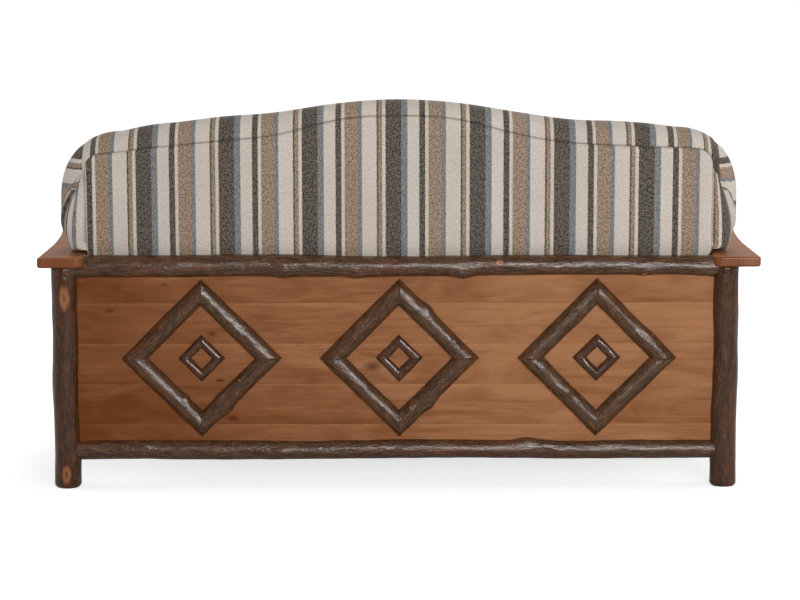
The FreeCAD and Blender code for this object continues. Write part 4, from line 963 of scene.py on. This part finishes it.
def band_place(x):
    """Place in the repeat on the top band, which is drawn in towards the corners."""
    left = 0.005 * smoothstep(-0.6, -0.8, x) + 0.006 * smoothstep(-0.8, -0.88, x)
    right = 0.013 * smoothstep(0.45, 0.75, x) + 0.021 * smoothstep(0.78, 0.89, x)
    return stripe_place(x) - left + right


def edge_distance(ring, loop):
    """How far in from a loop the points of its ring lie, seen from the front."""
    return np.linalg.norm((ring - loop)[:, [0, 2]], axis=1)


def inside_face(ring, loop):
    """Front of the inside back: crowned, and drawn in where it meets the boxing."""
    edge = edge_distance(ring, loop)
    crown = 0.016 * smoothstep(0.45, 0.75, ring[:, 2]) * (1 - np.exp(-(edge / 0.09) ** 2))
    roll = 0.013 * (1 - np.exp(-edge / 0.012))
    uneven = 0.002 * layers(ring[:, 0] / 0.19, ring[:, 2] / 0.17, 8.0) * np.clip(edge / 0.05, 0, 1)
    puckers = 0.001 * lattice((ring[:, 0] + ring[:, 2]) / 0.03, edge / 0.05, 2.0) * np.exp(-edge / 0.03)
    return front_plane(ring[:, 2]) - 0.012 + roll + crown + uneven + puckers


def outside_back():
    """The outside back: a lightly crowned panel closed with a seam along its edge."""
    line = full_section(0, 0, 0)
    line = line[line[:, 1] > WING_LOW + 0.04]
    turn = np.linspace(0, math.pi / 2, 7)
    right_low = np.stack([SEAM_HALF - LOW_CORNER * (1 - np.cos(turn)),
                          PANEL_FOOT + LOW_CORNER * (1 - np.sin(turn))], 1)
    left_low = np.array([(LEFT_INSET - SEAM_HALF, PANEL_FOOT), (LEFT_INSET / 2 - SEAM_HALF, WING_LOW - 0.008),
                         (0.001 - SEAM_HALF, WING_LOW + 0.02)])
    bottom = np.linspace(SEAM_HALF - LOW_CORNER, -SEAM_HALF + LEFT_INSET, TOP_COLUMNS)[1:-1]
    bottom = np.stack([bottom, np.full(len(bottom), PANEL_FOOT)], 1)
    flat = np.concatenate([line, right_low, bottom, left_low])
    total = len(flat)
    loop = np.stack([flat[:, 0], np.full(total, PANEL_EDGE), flat[:, 1]], 1)
    rings = cap(loop, OUTSIDE_SPINE, (np.arange(OUTSIDE_RINGS + 1) / OUTSIDE_RINGS) ** 1.6)
    for ring in rings:
        ring[:, 1] = outside_face(ring, loop)
    backing = loop * np.array([0.99, 1, 1])
    backing[:, 1] = PANEL_BACKING
    points = [backing] + rings
    faces, places = grid_faces(len(points), total, True)
    uv = [(stripe_place(p[0]), p[2]) for p in (points[i][j % total] for i, j in places)]
    faces.append(list(range(total))[::-1])
    uv += [(stripe_place(p[0]), p[2]) for p in backing[::-1]]
    # Painted shade along the seam at the panel's edge; the backing is fully shaded
    painted_seam_shade = [np.ones(total)] + [np.exp(-(edge_distance(ring, loop) / SEAM_SHADE) ** 2) for ring in rings]
    painted_seam_shade = np.concatenate(painted_seam_shade) * (np.concatenate(points)[:, 2] > WING_LOW)
    made = piece("outside_back_cover", np.concatenate(points), faces, {"cloth": uv}, {"seam": painted_seam_shade}, CLOTH)
    weld(made)
    dress(made, "outside_back")


def outside_face(ring, loop):
    """Rear of the outside back: drawn in at the seam, flat and a little uneven between."""
    edge = edge_distance(ring, loop)
    roll = 0.0115 * (1 - np.exp(-edge / 0.005))
    low = smoothstep(0.70, 0.64, ring[:, 2])
    uneven = 0.0011 * layers(ring[:, 0] / 0.21, ring[:, 2] / 0.15, 4.0) * np.clip(edge / 0.04, 0, 1)
    puckers = 0.0009 * lattice(ring[:, 0] / 0.026, edge / 0.05, 6.0) * np.exp(-edge / 0.022)
    return PANEL_EDGE - roll * (1 - 0.75 * low) - uneven + puckers


# Seat cushions

CUSHION_MESH = 0.006
# How much smaller the cover starts than the CAD cushion, and how far it may swell
CUSHION_SLIM = np.array([0.975, 0.975, 0.96])
PUFF_CAP = 0.022
SWELL_FRAMES = 20
SWELL_SETTINGS = {"quality": 4, "mass": 0.3, "tension_stiffness": 18, "compression_stiffness": 18,
                  "shear_stiffness": 8, "bending_stiffness": 2, "use_pressure": True,
                  "uniform_pressure_force": 4}
# Heights of a cushion's lower and upper seams above its foot, and how far out the boxing starts
CUSHION_SEAMS = (0.016, 0.118)
BOXING_OUT = 0.86
# Spacing and depth of the dents in a cushion's top
DENT_SPACING, DENT_DEPTH = 0.16, 0.0025
# Depth and width of the groove along a cushion's seam, and room left inside the CAD cushion's sides
GROOVE_DEPTH, GROOVE_WIDE = 0.004, 0.0045
COVER_ROOM = np.array([0.0008, 0.0008, 0])


def cushion_base(name):
    """A copy of the CAD cushion, evenly meshed."""
    made = nodes["seat_cushion_" + name].copy()
    made.data = made.data.copy()
    made.name = "cushion_cover_" + name
    made.parent = None
    for key in list(made.keys()):
        del made[key]
    bpy.context.scene.collection.objects.link(made)
    made.hide_render = made.hide_viewport = False
    made.data.remesh_voxel_size = CUSHION_MESH
    made.data.use_remesh_preserve_volume = False
    bpy.context.view_layer.objects.active = made
    made.select_set(True)
    bpy.ops.object.voxel_remesh()
    made.select_set(False)
    return made


def mesh_points(made):
    points = np.empty(len(made.data.vertices) * 3)
    made.data.vertices.foreach_get("co", points)
    return points.reshape(-1, 3)


def set_points(made, points):
    made.data.vertices.foreach_set("co", np.asarray(points, float).ravel())
    made.data.update()


def inflate(made):
    """Swell the cover with a cloth simulation, held to a largest move."""
    rest = mesh_points(made)
    cloth = made.modifiers.new("swell", "CLOTH")
    for key, value in SWELL_SETTINGS.items():
        setattr(cloth.settings, key, value)
    cloth.settings.effector_weights.gravity = 0
    cloth.collision_settings.use_collision = False
    cloth.point_cache.frame_start = 1
    cloth.point_cache.frame_end = SWELL_FRAMES
    scene = bpy.context.scene
    for number in range(1, SWELL_FRAMES + 1):
        scene.frame_set(number)
    solved = made.evaluated_get(bpy.context.evaluated_depsgraph_get())
    swollen = np.empty(len(rest) * 3)
    solved.data.vertices.foreach_get("co", swollen)
    move = swollen.reshape(-1, 3) - rest
    made.modifiers.remove(cloth)
    scene.frame_set(1)
    far = np.linalg.norm(move, axis=1, keepdims=True)
    return rest + move * np.minimum(1, PUFF_CAP / np.maximum(far, 1e-9))


def seat_cushion(name, seed):
    """A boxed seat cushion: swollen cover, flat where it lies, seams along its edges."""
    low, high = (np.array(v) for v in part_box("seat_cushion_" + name))
    made = cushion_base(name)
    centre = (low + high) / 2
    points = centre + (mesh_points(made) - centre) * CUSHION_SLIM
    points[:, 2] += (low[2] - centre[2]) * (1 - CUSHION_SLIM[2])
    set_points(made, points)
    points = inflate(made)
    height = points[:, 2] - low[2]
    relative = (points - centre)[:, :2]
    outward = relative / np.linalg.norm(relative, axis=1, keepdims=True)
    away = np.abs(relative / (high - low)[:2]).max(1)
    dents = layers(points[:, 0] / DENT_SPACING, points[:, 1] / DENT_SPACING, seed)
    points[:, 2] += DENT_DEPTH * dents * smoothstep(0.05, 0.12, height)
    for level in CUSHION_SEAMS:
        groove = np.exp(-((height - level) / GROOVE_WIDE) ** 2) * smoothstep(0.42, 0.46, away)
        points[:, :2] -= outward * (GROOVE_DEPTH * groove)[:, None]
    set_points(made, np.clip(points, low + COVER_ROOM, high - COVER_ROOM))
    cushion_stripes(made, low, high)
    smooth = made.modifiers.new("fine", "SUBSURF")
    smooth.levels = smooth.render_levels = 1
    made.data.materials.clear()
    made.data.materials.append(CLOTH)
    smooth_faces(made.data)
    dress(made, "seat_cushion_" + name, "seat_cushion_" + name)


def cushion_stripes(made, low, high):
    """Stripes run front to back over the top; the boxing between the seams has its own upright stripes."""
    mesh = made.data
    for layer in list(mesh.uv_layers):
        mesh.uv_layers.remove(layer)
    points = mesh_points(made)
    centre, half = (low + high) / 2, (high - low) / 2
    uv = []
    for face in mesh.polygons:
        across, along = np.abs((np.array(face.center) - centre) / half)[:2]
        rise = face.center[2] - low[2]
        boxed = CUSHION_SEAMS[0] < rise < CUSHION_SEAMS[1] and max(across, along) > BOXING_OUT
        for i in face.vertices:
            x, y, z = points[i]
            if not boxed:
                uv.append((stripe_place(x), y))
            elif across - along * half[1] / half[0] > 1 - half[1] / half[0]:
                uv.append((y, z))
            else:
                uv.append((stripe_place(x), z))
    rim = np.abs((points - centre) / half)[:, :2].max(1)
    # Painted shade along the cushion's seams, on the boxing
    painted_seam_shade = sum(np.exp(-((points[:, 2] - low[2] - level) / 0.004) ** 2) for level in CUSHION_SEAMS)
    add_maps(mesh, {"cloth": uv}, {"seam": 1.8 * painted_seam_shade * (rim > BOXING_OUT)})


# Finishes of the pieces that keep their CAD form

FRAME_PARTS = ("seat_front", "seat_rear", "seat_end", "seat_stretcher", "seat_ledger", "back_frame")


def finish_boards():
    """Materials of the boards, the webbing, the deck, the bolts and the hidden frames."""
    finishes = [(REAR_WOOD, [f"rear_panel_board_{k}" for k in range(1, 6)]),
                (SIDE_WOOD, ["side_panel_left", "side_panel_right"]), (FRONT_WOOD, ["front_panel"]),
                (ARM_WOOD, ["arm_left", "arm_right"]), (WEBBING, ["seat_webbing", "back_webbing"]),
                (FELT, ["seat_deck"]), (STEEL, ["back_bolts"]),
                (FRAME_WOOD, [name for name in nodes if name.startswith(FRAME_PARTS)])]
    for material, names in finishes:
        for name in names:
            nodes[name].data.materials.clear()
            nodes[name].data.materials.append(material)


# Stage, lights and camera

AMBIENT = 0.10
FLOOR_HALF = 40.0


def floor_material():
    """A pale floor that fades to white for the camera, farther from the sofa."""
    g = Graph("studio_floor")
    tone = g.noise(g.place(), 0.6, 2.0)
    colour = g.ramp(tone, [(0.3, rgb(184, 184, 184)), (0.7, rgb(190, 190, 190))])
    g.finish(colour, g.ramp(tone, [(0.3, 0.8), (0.7, 0.9)]))
    rays = g.add("LightPath").outputs
    mirrored = g.math("MAXIMUM", rays["Is Glossy Ray"], rays["Is Transmission Ray"])
    away = g.add("VectorMath", {0: g.place()}, operation="LENGTH").outputs["Value"]
    white = g.add("MapRange", {"Value": away, "From Min": 1.5, "From Max": 5.0, "To Min": 0.74,
                               "To Max": 1.0})
    level = g.scaled(rays["Is Camera Ray"], white.outputs[0])
    level = g.scaled(mirrored, 0.1, level)
    glow = g.add("Emission", {"Color": (1, 1, 1, 1), "Strength": level})
    both = g.add("AddShader", {0: g.shader.outputs[0], 1: glow.outputs[0]})
    g.tree.links.new(both.outputs[0], g.tree.nodes["Material Output"].inputs[0])
    return g.material


def build_floor():
    corners = [(x * FLOOR_HALF, y * FLOOR_HALF, 0) for x, y in ((-1, -1), (1, -1), (1, 1), (-1, 1))]
    floor = piece("floor", corners, [[0, 1, 2, 3]], {}, {}, floor_material())


def build_world():
    """White to the camera and through glass, pale in reflections, and a weak light all round."""
    world = bpy.data.worlds.new("studio")
    bpy.context.scene.world = world
    g = Nodes(world)
    rays = g.add("LightPath").outputs
    level = AMBIENT
    for ray, white in (("Is Camera Ray", 1.0), ("Is Transmission Ray", 1.0), ("Is Glossy Ray", 0.2)):
        level = g.scaled(rays[ray], white, level)
    backdrop = g.tree.nodes["Background"]
    backdrop.inputs["Color"].default_value = (1, 1, 1, 1)
    g.join(level, backdrop.inputs["Strength"])


def softbox(name, place, target, size, power, mirrored=True):
    """A rectangular lamp; one that isn't mirrored shows in no reflection."""
    lamp = bpy.data.lights.new(name, "AREA")
    lamp.shape = "RECTANGLE"
    lamp.size, lamp.size_y = size
    lamp.energy = power
    made = add_object(name, lamp)
    made.location = place
    made.visible_glossy = mirrored
    made.rotation_euler = (Vector(target) - Vector(place)).to_track_quat("-Z", "Y").to_euler()


def build_lights():
    """A wide key lamp beside the camera, and other lamps for the front, the sides and the top."""
    softbox("key", (1.65, -6.4, 1.9), (0, -0.4, 0.55), (4.0, 1.3), 260)
    softbox("overhead", (0.5, -5.8, 2.9), (0, -0.4, 0.5), (4.0, 0.6), 30)
    softbox("fill", (-4.0, -4.0, 2.2), (0, -0.4, 0.5), (2.4, 2.4), 4, mirrored=False)
    softbox("front", (1.0, 5.6, 2.8), (0, 0.2, 0.5), (3.0, 2.0), 210, mirrored=False)
    softbox("front_high", (0.6, 4.2, 5.0), (0, 0.2, 0.5), (3.0, 2.0), 60)
    softbox("top", (0, -0.6, 4.2), (0, -0.2, 0.6), (3.0, 1.6), 26, mirrored=False)
    softbox("left", (-5.5, 0.4, 1.8), (-0.9, 0, 0.6), (2.0, 2.0), 100, mirrored=False)
    softbox("right", (5.5, 0.4, 1.8), (0.9, 0, 0.6), (2.0, 2.0), 100, mirrored=False)


CAMERA_PLACE = (-0.025, -6.95, 1.469)
CAMERA_YAW, CAMERA_PITCH, CAMERA_ROLL = -0.0042, -0.1421, -0.0016
FOCAL_PIXELS, IMAGE_WIDTH, SENSOR = 2335.5, 800, 36.0


def build_camera():
    """The camera behind the sofa, turned by its yaw, pitch and roll."""
    lens = bpy.data.cameras.new("camera")
    lens.sensor_width = SENSOR
    lens.lens = FOCAL_PIXELS * SENSOR / IMAGE_WIDTH
    made = add_object("camera", lens)
    made.matrix_world = (Matrix.Translation(CAMERA_PLACE) @ Matrix.Rotation(CAMERA_YAW, 4, "Z")
                         @ Matrix.Rotation(math.pi / 2 + CAMERA_PITCH, 4, "X")
                         @ Matrix.Rotation(CAMERA_ROLL, 4, "Z"))
    bpy.context.scene.camera = made


build_camera()
build_logs()
build_diamonds()
finish_boards()
back_upholstery()
outside_back()
for seed, name in enumerate(THIRDS):
    seat_cushion(name, seed + 40)
build_floor()
build_world()
build_lights()
bpy.context.scene.view_settings.view_transform = "Standard"
